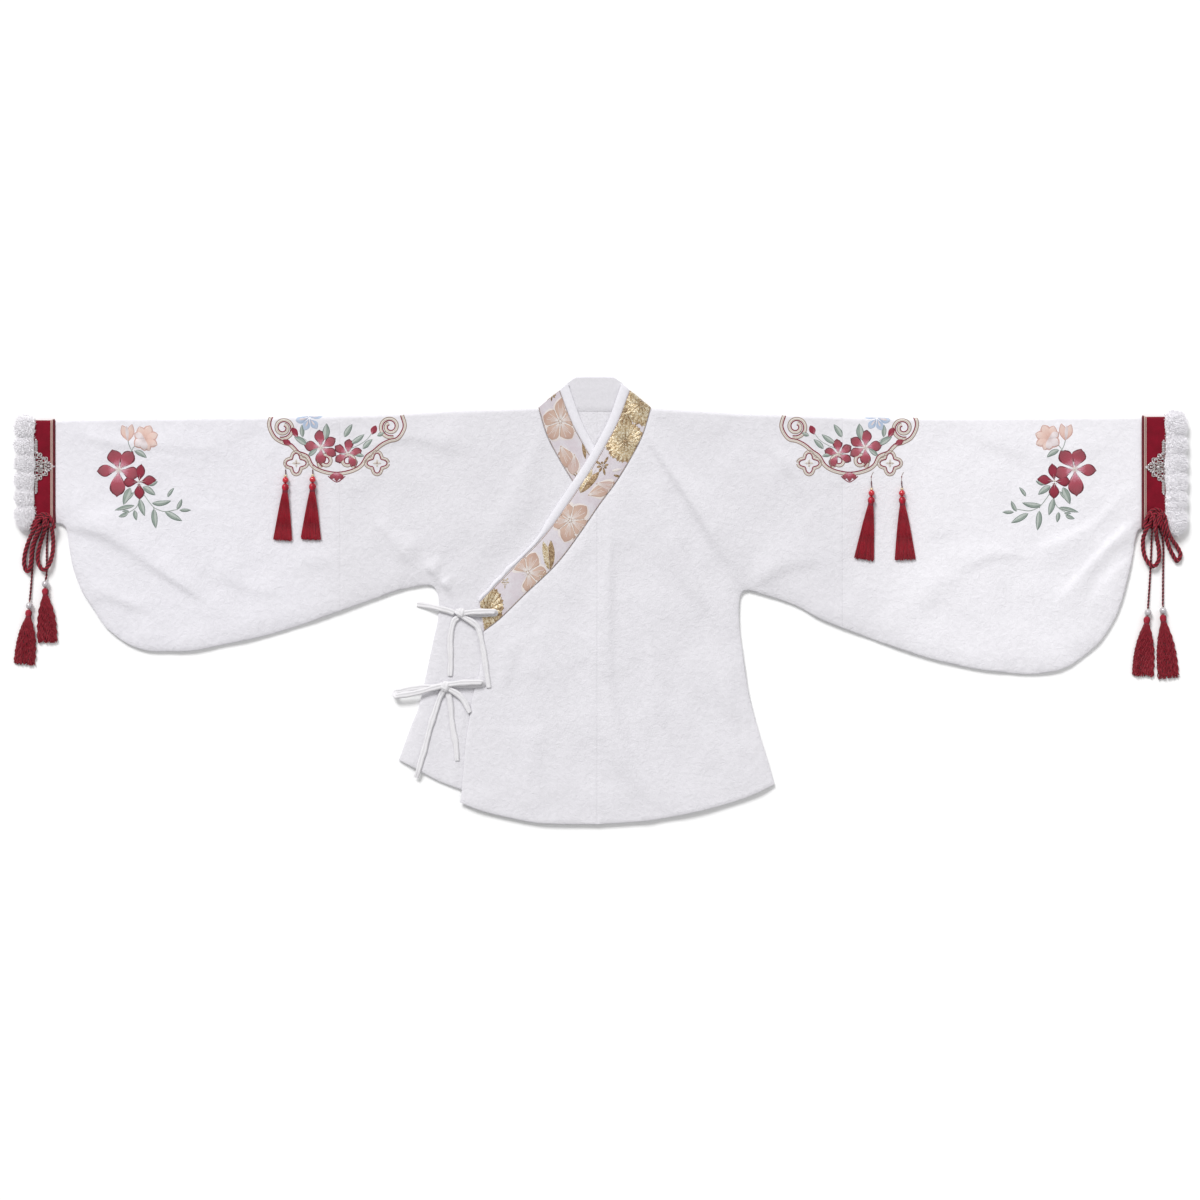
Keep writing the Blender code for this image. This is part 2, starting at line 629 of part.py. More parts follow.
def make_cuffs():
    radius = BAND_HEIGHT / 2
    for name, sleeve_x, band_x, fur_x, low, high, piping_x in CUFFS:
        away = math.copysign(1.0, band_x)
        ends = (sleeve_x + away * SEAM_GAP, band_x)
        outer = []
        inner = []
        profile = ring_profile(low, high, radius, 2, 4)
        for y, across, up in profile:
            for x in ends:
                outer.append((x, y + radius * across, radius + radius * up))
                hollow = radius - WALL
                inner.append((x, y + hollow * across, radius + hollow * up))
        wall(f"cuff_{name}_band", outer, inner, grid_faces(len(profile), 2, closed=True), BAND)
        make_piping(name, piping_x, low, high)
        make_lace(name, band_x - away * 0.6, piping_x + away * (PIPING_WIDTH / 2 + 0.5), low, high)
        make_fur(name, band_x + away * SEAM_GAP, fur_x, low, high)


def make_piping(name, centre_x, low, high):
    """A raised strip round the front of the band and half-way down its ends."""
    radius = BAND_HEIGHT / 2
    half = math.radians(80)
    turns = [math.pi / 2 + half * (1 - k / 3) for k in range(4)]
    path = [(low + radius, math.cos(t), math.sin(t)) for t in turns]
    path += [(high - radius, -math.cos(t), math.sin(t)) for t in reversed(turns)]
    outer = []
    inner = []
    for y, across, up in path:
        for side, thick in ((-1.0, 0.5), (0.0, 1.0), (1.0, 0.5)):
            x = centre_x + side * PIPING_WIDTH / 2
            out = radius + SEAM_GAP + PIPING_HEIGHT * thick
            outer.append((x, y + out * across, radius + out * up))
            near = radius + SEAM_GAP
            inner.append((x, y + near * across, radius + near * up))
    wall(f"cuff_{name}_piping", outer, inner, grid_faces(len(path), 3), PIPING)


def make_lace(name, from_x, to_x, low, high):
    """A pointed plate on the band, its two long sides scalloped."""
    middle = (low + high) / 2 + 8.0
    outline = []
    count = 4 * LACE_SCALLOPS
    for k in range(count + 1):
        t = 2 * k / count - 1
        reach = 1 - abs(t)
        scallop = 0.93 + 0.07 * math.cos(math.pi * LACE_SCALLOPS * (t + 1))
        outline.append((from_x + (to_x - from_x) * reach * scallop, middle + t * LACE_HEIGHT / 2))
    points, faces, _ = patch(outline, [])
    lift = BAND_HEIGHT + SEAM_GAP
    outer = [(x, y, lift + LACE_WALL) for x, y in points]
    inner = [(x, y, lift) for x, y in points]
    wall(f"cuff_{name}_lace", outer, inner, faces, LACE)


def make_fur(name, from_x, to_x, low, high):
    """The fur trim: the band's ring, swollen outwards between its two edges, flat underneath."""
    radius = BAND_HEIGHT / 2
    profile = ring_profile(low, high, radius, 12, 6)
    columns = 6
    outer = []
    inner = []
    for y, across, up in profile:
        wave = 0.5 + 0.5 * math.cos(2 * math.pi * FUR_SCALLOPS * (y - low) / (high - low))
        reach = to_x - (to_x - from_x) * FUR_SCALLOP_DEPTH * 0.5 * wave
        for k in range(columns):
            along = k / (columns - 1)
            x = from_x + (reach - from_x) * along
            swell = FUR_BULGE * math.sin(math.pi * along) ** 0.6 * (1 - FUR_SCALLOP_DEPTH * wave)
            out = radius + swell
            outer.append((x, y + out * across, max(0.0, radius + out * up)))
            hollow = radius - WALL
            inner.append((x, y + hollow * across, radius + hollow * up))
    wall(f"cuff_{name}_fur", outer, inner, grid_faces(len(profile), columns, closed=True), FUR)


def catmull(route, spacing):
    """Points at an even spacing on a smooth curve through the route."""
    points = np.array(route, float)
    padded = np.vstack([2 * points[0] - points[1], points, 2 * points[-1] - points[-2]])
    dense = []
    for a, b, c, d in zip(padded, padded[1:], padded[2:], padded[3:]):
        for t in np.linspace(0, 1, 20, endpoint=False):
            dense.append(0.5 * (
                2 * b + (c - a) * t + (2 * a - 5 * b + 4 * c - d) * t ** 2
                + (3 * b - a - 3 * c + d) * t ** 3))
    dense.append(points[-1])
    dense = np.array(dense)
    length = np.concatenate([[0], np.cumsum(np.linalg.norm(np.diff(dense, axis=0), axis=1))])
    count = max(4, round(length[-1] / spacing))
    wanted = np.linspace(0, length[-1], count + 1)
    return np.stack([np.interp(wanted, length, dense[:, k]) for k in range(3)], axis=1)


def make_cords():
    for name, thickness, route in CORD_ROUTES:
        curve = bpy.data.curves.new(name, "CURVE")
        curve.dimensions = "3D"
        curve.bevel_depth = thickness / 2 * MM
        curve.bevel_resolution = 2
        curve.use_fill_caps = True
        spline = curve.splines.new("POLY")
        points = catmull(route, 2.2 * thickness)
        spline.points.add(len(points) - 1)
        for target, point in zip(spline.points, points):
            target.co = (*(point * MM), 1.0)
        curve.materials.append(material_of(CORD))
        bpy.context.scene.collection.objects.link(bpy.data.objects.new(name, curve))


def ellipsoid(name, centre, half, spec, around=12, rings=6):
    bm = bmesh.new()
    bmesh.ops.create_uvsphere(bm, u_segments=around, v_segments=rings, radius=1.0)
    bmesh.ops.scale(bm, vec=half, verts=bm.verts)
    bmesh.ops.translate(bm, vec=centre, verts=bm.verts)
    return add_object(name, bm, spec, sharp=80.0)


def make_knots_and_pearls():
    for name, x, y, z, *half in KNOTS:
        ellipsoid(name, (x, y, z), half, CORD if name.startswith("cuff") else RIBBON)
    for name, x, y in PEARLS:
        radius = PEARL_THICK / 2
        ellipsoid(name, (x, y, radius + CLEARANCE), (radius,) * 3, PEARL, around=10)


def make_beads():
    """A red bead on its thread, as one turned piece along Y."""
    for name, x, y, thread_y in BEADS:
        bm = bmesh.new()
        z = FLAT_TOP + CLEARANCE + BEAD_RADIUS
        around = 10
        profile = [(thread_y, THREAD_RADIUS)]
        for angle in (16, 50, 90, 130, 164):
            turn = math.radians(angle)
            profile.append((y + BEAD_RADIUS * math.cos(turn), BEAD_RADIUS * math.sin(turn)))
        rings = []
        for at_y, radius in profile:
            ring = []
            for k in range(around):
                turn = 2 * math.pi * k / around
                place = (x + radius * math.cos(turn), at_y, z + radius * math.sin(turn))
                ring.append(bm.verts.new(place))
            rings.append(ring)
        for one, two in zip(rings, rings[1:]):
            for k in range(around):
                after = (k + 1) % around
                bm.faces.new((one[k], one[after], two[after], two[k]))
        bm.faces.new(rings[0])
        bm.faces.new(rings[-1])
        add_object(name, bm, BEAD, sharp=60.0)


def grid_edge(across, deep):
    """The cells' corner places once round a grid, from -1 to 1 each way."""
    places = [(i, 0) for i in range(across)]
    places += [(across, j) for j in range(deep)]
    places += [(i, deep) for i in range(across, 0, -1)]
    places += [(0, j) for j in range(deep, 0, -1)]
    return places


def make_tassel(name, top_x, top_y, floor_z, length, end_width, lean):
    """A head lofted from round to flat, and locks extruded from the cells of its lower face."""
    middle_z = floor_z + max(section[2] for section in HEAD_SECTIONS)
    turn = math.radians(lean)
    along = np.array((math.sin(turn), -math.cos(turn), 0.0))
    across = np.array((math.cos(turn), math.sin(turn), 0.0))
    top = np.array((top_x, top_y, middle_z))

    def place(distance, side, up):
        return top + along * distance + across * side + np.array((0.0, 0.0, up))

    def on_section(i, j, section):
        distance, half_width, half_height, square = section
        a = 2 * i / LOCKS_ACROSS - 1
        b = 2 * j / LOCKS_DEEP - 1
        round_a = a * math.sqrt(1 - b * b / 2)
        round_b = b * math.sqrt(1 - a * a / 2)
        side = half_width * (round_a + (a - round_a) * square)
        return place(distance, side, half_height * (round_b + (b - round_b) * square))

    bm = bmesh.new()
    edge = grid_edge(LOCKS_ACROSS, LOCKS_DEEP)
    rings = [[bm.verts.new(on_section(i, j, s)) for i, j in edge] for s in HEAD_SECTIONS]
    for one, two in zip(rings, rings[1:]):
        for k in range(len(edge)):
            after = (k + 1) % len(edge)
            bm.faces.new((one[k], one[after], two[after], two[k]))
    bm.faces.new(rings[0])
    root = dict(zip(edge, rings[-1]))
    for i in range(LOCKS_ACROSS + 1):
        for j in range(LOCKS_DEEP + 1):
            if (i, j) not in root:
                root[i, j] = bm.verts.new(on_section(i, j, HEAD_SECTIONS[-1]))
    cells = {}
    for i in range(LOCKS_ACROSS):
        for j in range(LOCKS_DEEP):
            corners = ((i, j), (i, j + 1), (i + 1, j + 1), (i + 1, j))
            cells[i, j] = bm.faces.new([root[c] for c in corners])
    bmesh.ops.recalc_face_normals(bm, faces=bm.faces)
    bmesh.ops.inset_individual(
        bm, faces=list(cells.values()), thickness=LOCK_GAP / 2, use_even_offset=True)
    root_at = HEAD_SECTIONS[-1][0]
    for (i, j), face in cells.items():
        side = (2 * i + 1) / LOCKS_ACROSS - 1
        upper = 2 * j / (LOCKS_DEEP - 1) - 1
        uneven = math.sin(2.3 * i + 1.7 * j + top_x)
        for share, widen in ((LOCK_MIDDLE, 1.25), (1.0, 1.6)):
            face = bmesh.ops.extrude_discrete_faces(bm, faces=[face])["faces"][0]
            centre = face.calc_center_median()
            spread = HEAD_SECTIONS[-1][1] + (end_width / 2 - HEAD_SECTIONS[-1][1]) * share
            reach = root_at + (length - root_at) * share + 2.0 * uneven * share
            height = LOCK_RISE * upper - LOCK_DROOP * (1 - upper) / 2 * share
            target = place(reach, side * spread * (1 - 0.5 / LOCKS_ACROSS), height)
            for vert in face.verts:
                part = np.array(vert.co) - np.array(centre)
                sideways = float(part @ across) * widen
                flat = float(part[2]) * (1 - 0.35 * share)
                vert.co = target + across * sideways + np.array((0.0, 0.0, flat))
    add_object(name, bm, CORD, sharp=50.0)


def ribbon(name, path, across=None):
    """A ribbon along a path. Across is its width's direction where the path doubles back."""
    points = np.array(path, float)
    steps = np.gradient(points, axis=0)
    steps /= np.linalg.norm(steps, axis=1)[:, None]
    outer = []
    inner = []
    for point, step in zip(points, steps):
        side = np.array((-step[1], step[0], 0.0)) if across is None else across
        side = side / np.linalg.norm(side)
        normal = np.cross(step, side)
        for share in (-0.5, 0.5):
            edge = point + side * share * RIBBON_WIDTH
            outer.append(tuple(edge + normal * RIBBON_WALL / 2))
            inner.append(tuple(edge - normal * RIBBON_WALL / 2))
    wall(name, outer, inner, grid_faces(len(points), 2), RIBBON)


def make_ties():
    for name, route in RIBBON_TAILS:
        ribbon(name, route)
    for name, ax, ay, az, bx, by, bz, height in RIBBON_LOOPS:
        start = np.array((ax, ay, az))
        end = np.array((bx, by, bz))
        flat = np.array((bx - ax, by - ay, 0.0))
        flat /= np.linalg.norm(flat)
        radius = height / 2
        turn_at = end - flat * radius
        rise = np.array((0.0, 0.0, radius))
        path = [start, (start + turn_at) / 2, turn_at]
        for angle in (-60, -25, 25, 60):
            turn = math.radians(angle)
            path.append(turn_at + flat * radius * math.cos(turn) + rise * (1 + math.sin(turn)))
        high = turn_at + 2 * rise
        top = start + np.array((0.0, 0.0, 3.2))
        path += [high, high + (top - high) * 0.5 + rise * 0.25, top]
        ribbon(name, path, np.array((-flat[1], flat[0], 0.0)))


def main():
    clear_scene()
    make_body()
    make_overlaps()
    make_sleeves()
    make_collar()
    make_cuffs()
    make_cords()
    make_knots_and_pearls()
    make_beads()
    for row in TASSELS:
        make_tassel(*row)
    make_ties()


main()
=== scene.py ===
"""The looks of a cross-collar hanfu jacket that lies flat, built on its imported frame.

Tables are in millimetres: +X to the right of the picture, +Y to the neck, +Z up from the floor.
"""
import math

import bpy
import numpy as np
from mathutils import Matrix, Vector
from mathutils.geometry import delaunay_2d_cdt


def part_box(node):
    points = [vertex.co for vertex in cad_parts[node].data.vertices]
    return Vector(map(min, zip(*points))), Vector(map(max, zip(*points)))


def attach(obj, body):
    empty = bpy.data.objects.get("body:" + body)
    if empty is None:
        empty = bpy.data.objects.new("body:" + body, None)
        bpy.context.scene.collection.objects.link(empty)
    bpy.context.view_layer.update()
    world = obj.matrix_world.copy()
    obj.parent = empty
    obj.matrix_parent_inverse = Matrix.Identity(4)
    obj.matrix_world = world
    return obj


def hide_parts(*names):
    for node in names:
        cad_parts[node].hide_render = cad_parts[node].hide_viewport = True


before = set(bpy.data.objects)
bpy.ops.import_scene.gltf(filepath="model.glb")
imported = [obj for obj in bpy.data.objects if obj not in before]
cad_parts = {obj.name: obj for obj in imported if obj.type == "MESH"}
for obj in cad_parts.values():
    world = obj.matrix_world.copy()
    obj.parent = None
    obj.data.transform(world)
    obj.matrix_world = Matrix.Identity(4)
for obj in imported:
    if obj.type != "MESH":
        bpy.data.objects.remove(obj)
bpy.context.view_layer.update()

MM = 0.001
BODY = "root"

# The photograph's view: straight down from a long way off
PIXEL = 1.535  # millimetres
PICTURE_PIXELS = 1200
CAMERA_PLACE = (-1.4, 0.3, 6000.0)
SENSOR = 36.0
FLOOR_HALF = 6.0  # metres
FLOOR_Z = -0.0002  # metres
SKY_LIGHT = 0.47
SUNS = (  # name, energy, spread in degrees, direction
    ("key", 2.55, 22.0, (0.34, -0.74, -0.76)),
    ("fill", 0.35, 60.0, (-0.5, -0.3, -0.8)),
)

# Thickness and layers of the cloth, as in the solids
WALL = 2.6
SEAM_GAP = 0.1
CLEARANCE = 0.4
SEWN_LIFT = 2.95
INNER_LIFT = 3.0
OUTER_LIFT = 6.0
EDGE_EASE = 26.0
RISE_START = 20.0
RISE_LENGTH = 80.0
FLAT_TOP = OUTER_LIFT + WALL

# Fineness of the cloth meshes
FRONT_STEP = 5.0
BACK_STEP = 24.0
FOLD_STEPS = 9
OUTLINE_STEP = 6.0
ROUTE_STEP = 14.0
SIDE_STEP = 9.0
SHARP_ANGLE = math.radians(55)
EDGE_ROUND = 1.8
EDGE_DROP = 0.9
PRESSED = 0.3

# Seams and free edges, x and y
CENTRE_X = -6.0
BACK_NECK_Y = 296.0
LEFT_HEM_Y = -343.2
RIGHT_HEM_Y = -340.0
INNER_HEM_Y = -338.0
COLLAR_AXIS_X = -9.5
COLLAR_RUN = (  # seam x, seam y, neck edge x, neck edge y, guard width, lift of the inner run
    (-180, -48, -187, -4, 3.0, 3.0),
    (-155, -29, -170, 13.5, 3.5, 3.0),
    (-115, 10, -140, 44.5, 4.0, 3.0),
    (-90, 33, -117, 68, 5.0, 3.0),
    (-64.5, 59, -94, 91, 7.0, 3.0),
    (-37, 95, -70, 121, 12.0, 3.0),
    (-1.4, 147, -38, 167, 13.0, 3.0),
    (23, 180, -13, 204.5, 13.0, 3.0),
    (48, 221, 10, 244, 13.0, 3.0),
    (64.5, 254, 26, 275, 14.0, 4.2),
    (77, 295, 44, 322, 16.0, 5.6),
)
COLLAR_BACK = (  # seam x, seam y, neck edge x, neck edge y, guard width
    (60, 296.2, 34, 328, 14.0),
    (26, 296.2, 18, 331.5, 12.0),
    (-9.5, 296.2, -9.5, 332, 12.0),
)
FACING = (  # y, left x, right x of the white facing inside the back neck
    (290, -84, 65),
    (298, -80, 61),
    (320, -60, 41),
    (333, -51, 33),
    (341, -38, 20),
)
COLLAR_STEP = 5.0
FACING_LIFT = 2.95
FACING_WALL = 1.2
OVERLAP_EDGE = (
    (-186, -110), (-196.5, -147), (-201, -179), (-207.5, -221), (-213, -289), (-216, -310),
)
OVERLAP_HEM = ((-216, -310), (-175, -325), (-106, -340), (-65, -342.6), (-35, LEFT_HEM_Y))
LEFT_HEM = ((40, -340.5), (85, -336), (156, -322), (212, -306), (240, -295), (266, -282))
LEFT_SIDE = (
    (266, -282), (254.5, -242), (240, -195), (226, -139), (217, -78), (212, -40), (211.4, -7),
    (214.6, 9), (224, 15), (250, 9), (297, -7), (336, -28), (369.95, -41.7),
)
LEFT_SHOULDER = ((77.4, 294.2), (145, 290), (213.5, 286), (272, 284), (320, 282), (369.95, 280.4))
RIGHT_HEM = (
    (-65, -337), (-106, -332), (-140, -323), (-175, -311), (-213, -291), (-249, -277), (-284, -258),
    (-310, -245),
)
RIGHT_SIDE = (
    (-310, -245), (-290, -190), (-280, -166), (-271, -127), (-264, -95), (-257, -62), (-250, -29),
    (-249, 3), (-257, 21), (-273, 23), (-308, 16), (-340, 5), (-374, -7), (-399.95, -16),
)
RIGHT_SHOULDER = (
    (-96.4, 294.4), (-150, 292.5), (-200, 290.8), (-247, 289), (-308, 285), (-355, 283.5),
    (-399.95, 282),
)
INNER_PANEL_EDGE = ((172, -200), (185, -300), (120, -322), (60, -333))
LEFT_SLEEVE_LOWER = (
    (370.05, -41.7), (410, -57), (448, -71), (485, -83), (522, -93.5), (560, -102), (597, -108),
    (652.5, -113), (690, -110), (710, -104), (727, -95), (747, -80), (764, -64), (778, -45),
    (790, -23), (799, 0), (805, 22), (814, 59), (820, 96), (825.5, 109), (829, 110),
)
LEFT_SLEEVE_TOP = (
    (370.05, 280.4), (410, 279.8), (480, 279), (582, 279), (640, 279.4), (708, 280), (770, 280.8),
    (829, 281.4),
)
RIGHT_SLEEVE_LOWER = (
    (-400.05, -16), (-452.5, -35), (-507, -52), (-540, -60), (-570, -66), (-625, -77), (-664, -78),
    (-695, -77), (-726.5, -66), (-754, -46), (-767, -31), (-777.5, -15), (-788, 1), (-797, 16),
    (-809, 48), (-815, 79), (-820, 110), (-829, 117.5), (-836, 118),
)
RIGHT_SLEEVE_TOP = (
    (-400.05, 282), (-450, 281), (-508, 280), (-580, 279.4), (-660, 278.6), (-738, 278),
    (-790, 277), (-836, 276),
)

# Folds: half width, height, how much wider its far side is, and the points it runs through
FOLDS = (  # on the route's left the fold slopes gently, on its right it is steep
    (9.0, 5.2, 3.4, (
        (-838, 118), (-796, 113), (-758, 102), (-720, 80), (-680, 50), (-630, 14), (-590, -14))),
    (12.0, 2.6, 2.2, ((-832, 150), (-806, 142), (-780, 122), (-740, 96))),
    (14.0, 2.2, 2.2, ((-788, 30), (-752, 8), (-716, -8), (-670, -14))),
    (14.0, 1.8, 2.0, ((-830, 262), (-740, 240), (-640, 236), (-560, 226), (-520, 208))),
    (9.0, 5.6, 3.4, ((68, 262), (101, 204), (137, 154), (165, 110), (188, 72), (226, 22))),
    (9.0, 4.6, 2.8, ((174, -30), (146, 22), (121, 72), (98, 140), (76, 214))),
    (10.0, 4.6, 2.8, ((78, -330), (34, -230), (13, -160), (8, -90), (10, -20), (14, 70), (20, 150))),
    (12.0, 2.6, 2.5, ((60, 60), (76, -40), (84, -150), (130, -260))),
    (12.0, 2.8, 2.2, ((166, -70), (186, -140), (206, -210), (226, -262))),
    (9.0, 4.0, 3.2, ((828, 126), (792, 98), (751, 56), (722, 20), (690, -24))),
    (9.0, 2.4, 3.0, ((804, 168), (752, 116), (690, 82), (630, 52))),
    (10.0, 2.2, 3.0, ((820, 72), (790, 42), (764, 6), (740, -32))),
    (15.0, 2.2, 2.0, ((560, 262), (630, 236), (700, 226), (800, 240))),
    (17.0, 2.6, 1.8, ((460, -30), (520, 30), (600, 70), (690, 60))),
    (6.0, 4.4, 3.0, ((-270, 60), (-257, 42), (-246, 20))),
    (6.0, 4.0, 3.0, ((-246, 32), (-234, 14), (-224, -6))),
    (12.0, 2.8, 2.4, ((-346, 122), (-312, 84), (-276, 50))),
    (16.0, 2.0, 2.0, ((-88, 268), (-112, 210), (-146, 130), (-182, 76), (-214, 30))),
    (12.0, 2.8, 2.4, ((236, 24), (272, 52), (318, 62), (352, 56))),
    (14.0, 2.4, 2.2, ((-96, -60), (-112, -130), (-104, -220), (-112, -300))),
    (9.0, 2.6, 2.4, ((-142, -30), (-150, -80), (-156, -130), (-164, -200))),
    (22.0, 2.2, 1.8, ((-600, 60), (-540, 20), (-468, 16))),
    (18.0, 2.2, 2.0, ((-370, 232), (-300, 250), (-220, 240), (-160, 244))),
    (16.0, 2.0, 2.0, ((240, 250), (300, 190), (340, 120))),
)
SWELL_HEIGHT = 1.5
SWELL_WAVES = 26
SWELL_LONGEST = 190.0
SWELL_SHORTEST = 46.0
PUCKER_HEIGHT = 0.35
PUCKER_REACH = 13.0
QUIET_BOXES = (  # low x, low y, high x, high y, where small pieces lie on the sleeves
    (396, 62, 482, 190),
    (-502, 88, -424, 208),
    (-322, -282, -162, 2),
)
QUIET_EASE = 26.0
EDGE_RIDGE = 1.2
EDGE_RIDGE_AT = 10.0

# Cuffs: the bands and the fur are flattened rings round the sleeve ends
CUFFS = (  # name, sleeve end x, band end x, fur end x, low y, high y, piping x
    ("left", 829.0, 866.0, 899.5, 110.0, 281.4, 834.5),
    ("right", -836.0, -869.5, -900.0, 118.0, 276.0, -842.0),
)
BAND_SHARES = (  # share of the band's width, how far its surface falls there
    (0.0, 0.8), (0.02, 0.25), (0.06, 0.0), (0.2, 0.0), (0.35, 0.0), (0.5, 0.0), (0.65, 0.0),
    (0.8, 0.0), (0.94, 0.0), (0.98, 0.25), (1.0, 0.8),
)
PIPING_LINES = (  # shift towards the hand, thickness, material, lift
    (-0.9, 1.05, 0, 0.9), (-3.4, 1.6, 1, 1.0), (1.4, 0.45, 0, 0.45),
)
FUR_BULGE = 12.5
FUR_COLUMNS = 15
FUR_SCALLOPS = 6
FUR_SCALLOP_DEPTH = {"left": 0.2, "right": 0.34}
FUR_OVERLAP = 2.4
FUR_TUFTS = 12000
FUR_TUFT_LENGTH = 5.2
FUR_TUFT_RADIUS = 0.5

# Cords: each point on the cord's centreline, as in the solids
STRAND_OFFSET = 0.262
STRAND_RADIUS = 0.245
ROPE_PITCH = 3.2
CORD_STEP = 1.6
LOOP = 7.0
TAIL = 3.5
CORD_ROUTES = (  # name, thickness, route of x, y, z; a tail's name also names its pearl and tassel
    ("cuff_left_loop_a", LOOP, (
        (840, 117, 16.2), (835, 108, 15.2), (831.5, 96, 8), (831.5, 82, 4.5), (834, 68, 5),
        (841, 55, 8.3), (849, 52.5, 8.2), (855.5, 63, 6.5), (855.5, 80, 4.4), (852, 95, 8.5),
        (849.5, 106, 16.5), (848, 117.2, 18))),
    ("cuff_left_loop_b", LOOP, (
        (856.4, 119.6, 17.4), (861, 108, 16.4), (866, 95, 10), (872, 79, 7), (878, 68, 4.6),
        (884, 60, 4.2), (889, 70, 4.2), (883, 83, 5), (875.5, 92, 9.5), (869, 102, 18),
        (865, 113, 22.5), (864, 123, 22.5))),
    ("cuff_left_tail_a", TAIL, (
        (845, 119.8, 11.2), (844.5, 106, 10.8), (844.6, 94, 4), (844.4, 75, 2.3), (843.6, 55.6, 2.3),
        (841.6, 20, 2.3), (839.4, -8, 4), (839.1, -12.8, 5.4))),
    ("cuff_left_tail_b", TAIL, (
        (853.5, 120.1, 11.2), (857, 106, 10.8), (861, 96, 4), (863, 75, 2.3), (862.6, 40, 2.3),
        (862.4, 10, 2.3), (862, -5, 4), (862, -9.9, 5.4))),
    ("cuff_right_loop_a", LOOP, (
        (-863.3, 123, 14.5), (-867, 110, 15.5), (-874, 98, 9), (-880, 84, 4.6), (-884, 68, 4.3),
        (-884.5, 54, 4.3), (-880.5, 44, 4.3), (-875.5, 49, 7), (-873.5, 62, 8.2), (-872, 78, 8.2),
        (-868, 93, 8.6), (-861.5, 105, 15.5), (-857, 115.5, 19))),
    ("cuff_right_loop_b", LOOP, (
        (-848.8, 116.9, 17.5), (-852.5, 106, 12.5), (-857.8, 93, 5.5), (-862, 78, 4.6),
        (-863.8, 64, 4.6), (-860.5, 52, 6.8), (-853, 46.5, 8.4), (-845.4, 56, 7.8),
        (-841.2, 72, 4.6), (-840.2, 88, 4.2), (-840.4, 103, 10), (-841.6, 113, 15.8))),
    ("cuff_right_tail_a", TAIL, (
        (-855.5, 119.8, 10.8), (-858, 108, 10), (-863.5, 98, 3.5), (-869.5, 80, 2.3),
        (-871.5, 60.2, 2.3), (-873.2, 36.4, 2.3), (-875.6, 6, 3.2), (-876.3, -2.2, 5.4))),
    ("cuff_right_tail_b", TAIL, (
        (-847, 120.2, 10.8), (-847.2, 108, 10), (-849, 98, 3.5), (-850.3, 80, 2.3),
        (-850.3, 56, 2.3), (-850.6, 38, 3), (-851.6, 31, 5.2))),
)
CUFF_KNOTS = (  # name, centre and half sizes of its core, routes of the cords wound over it
    ("cuff_left_knot", (849.0, 128.5, 13.8), (9.5, 8.0, 4.4), (
        ((832.5, 111, 12.5), (835.5, 125, 14), (841.5, 135.5, 15), (850, 139, 15.3), (859, 135, 15),
         (865.5, 124, 14), (868, 111, 12.5)),
        ((840, 112, 14.5), (843, 126, 17.5), (849.5, 133, 18.5), (856, 128, 18.2), (860, 114, 16)),
        ((848, 113, 18.5), (846.5, 127, 19), (841, 133, 16.4), (836.5, 125, 13.5)),
        ((854, 114, 18.5), (853, 126, 19.2), (858, 132, 17), (863, 125, 14)))),
    ("cuff_right_knot", (-853.0, 126.0, 13.6), (9.0, 6.6, 4.2), (
        ((-837, 110, 12), (-840.5, 122, 14), (-848, 131, 15), (-858, 131, 15), (-866.5, 122, 14),
         (-873, 108, 12)),
        ((-846, 111, 14), (-848.5, 121, 17), (-855, 127, 18.2), (-861, 120.5, 17.2), (-866, 109, 14)),
        ((-853, 112, 18), (-851, 123, 18.5), (-845, 128, 15.8), (-841, 120, 13.4)))),
)
KNOT_CORD = 6.0
TASSELS = (  # name, top x, top y, floor z, length, end width, lean in degrees
    ("cuff_left_tassel_a", 837.6, -24.9, 0.5, 91, 33, -4),
    ("cuff_left_tassel_b", 861.6, -22.0, 0.5, 97, 32, 6),
    ("cuff_right_tassel_a", -877.0, -14.4, 0.5, 84, 32, -5),
    ("cuff_right_tassel_b", -852.2, 18.8, 0.5, 83, 31, 2),
    ("sleeve_left_tassel_a", 414.7, 158.5, 9.1, 97, 31, -7),
    ("sleeve_left_tassel_b", 461.2, 158.5, 9.1, 97, 33, 3),
    ("sleeve_right_tassel_a", -483.0, 178.5, 9.1, 87, 29, -3),
    ("sleeve_right_tassel_b", -441.5, 179.3, 9.1, 87, 31, -2),
)
TASSEL_HEAD = (  # distance from the top, radius
    (0.0, 1.5), (1.2, 3.5), (3.4, 4.8), (6.0, 5.1), (8.6, 4.6), (10.8, 3.8), (12.6, 3.5), (14.5, 4.2),
)
TASSEL_MIDDLE = 5.6
TASSEL_AROUND = 28
TASSEL_NECK = 12.0
CORE_ROWS = 14
CORE_AROUND = 24
CRINKLED_STRANDS = (150, 0.8, 34, 5, 0.028)  # count, thickness, steps, sides, unevenness
STRAIGHT_STRANDS = (300, 0.42, 12, 4, 0.012)
GOLDEN_TURN = 2.399963
BEADS = (  # name, x, y, where its thread ends
    ("sleeve_left_bead_a", 414.5, 163.9, 183.0), ("sleeve_left_bead_b", 461.0, 163.9, 183.0),
    ("sleeve_right_bead_a", -483.0, 183.9, 200.0), ("sleeve_right_bead_b", -441.5, 184.7, 200.0),
)

# Colours of the photograph, as its pixels show them
BODY_PLUSH = (233, 231, 236)
RIGHT_PLUSH = (239, 237, 243)
LEFT_PLUSH = (245, 243, 248)
BAND_RED = (126, 4, 32)
LIGHT_GAIN = 1.12
# How much darker the pile is painted in the low patches of its bump: painted shade between the clumps.
PILE_SHADE = 0.95
WEAVE_STEP = 0.0009  # metres

seeded = np.random.default_rng(7)


# Small maths helpers

def linear(colour):
    """A picture's colour as the shader's, at the scene's light."""
    parts = [c / 255 for c in colour]
    parts = [c / 12.92 if c < 0.04045 else ((c + 0.055) / 1.055) ** 2.4 for c in parts]
    return tuple(c / LIGHT_GAIN for c in parts) + (1.0,)


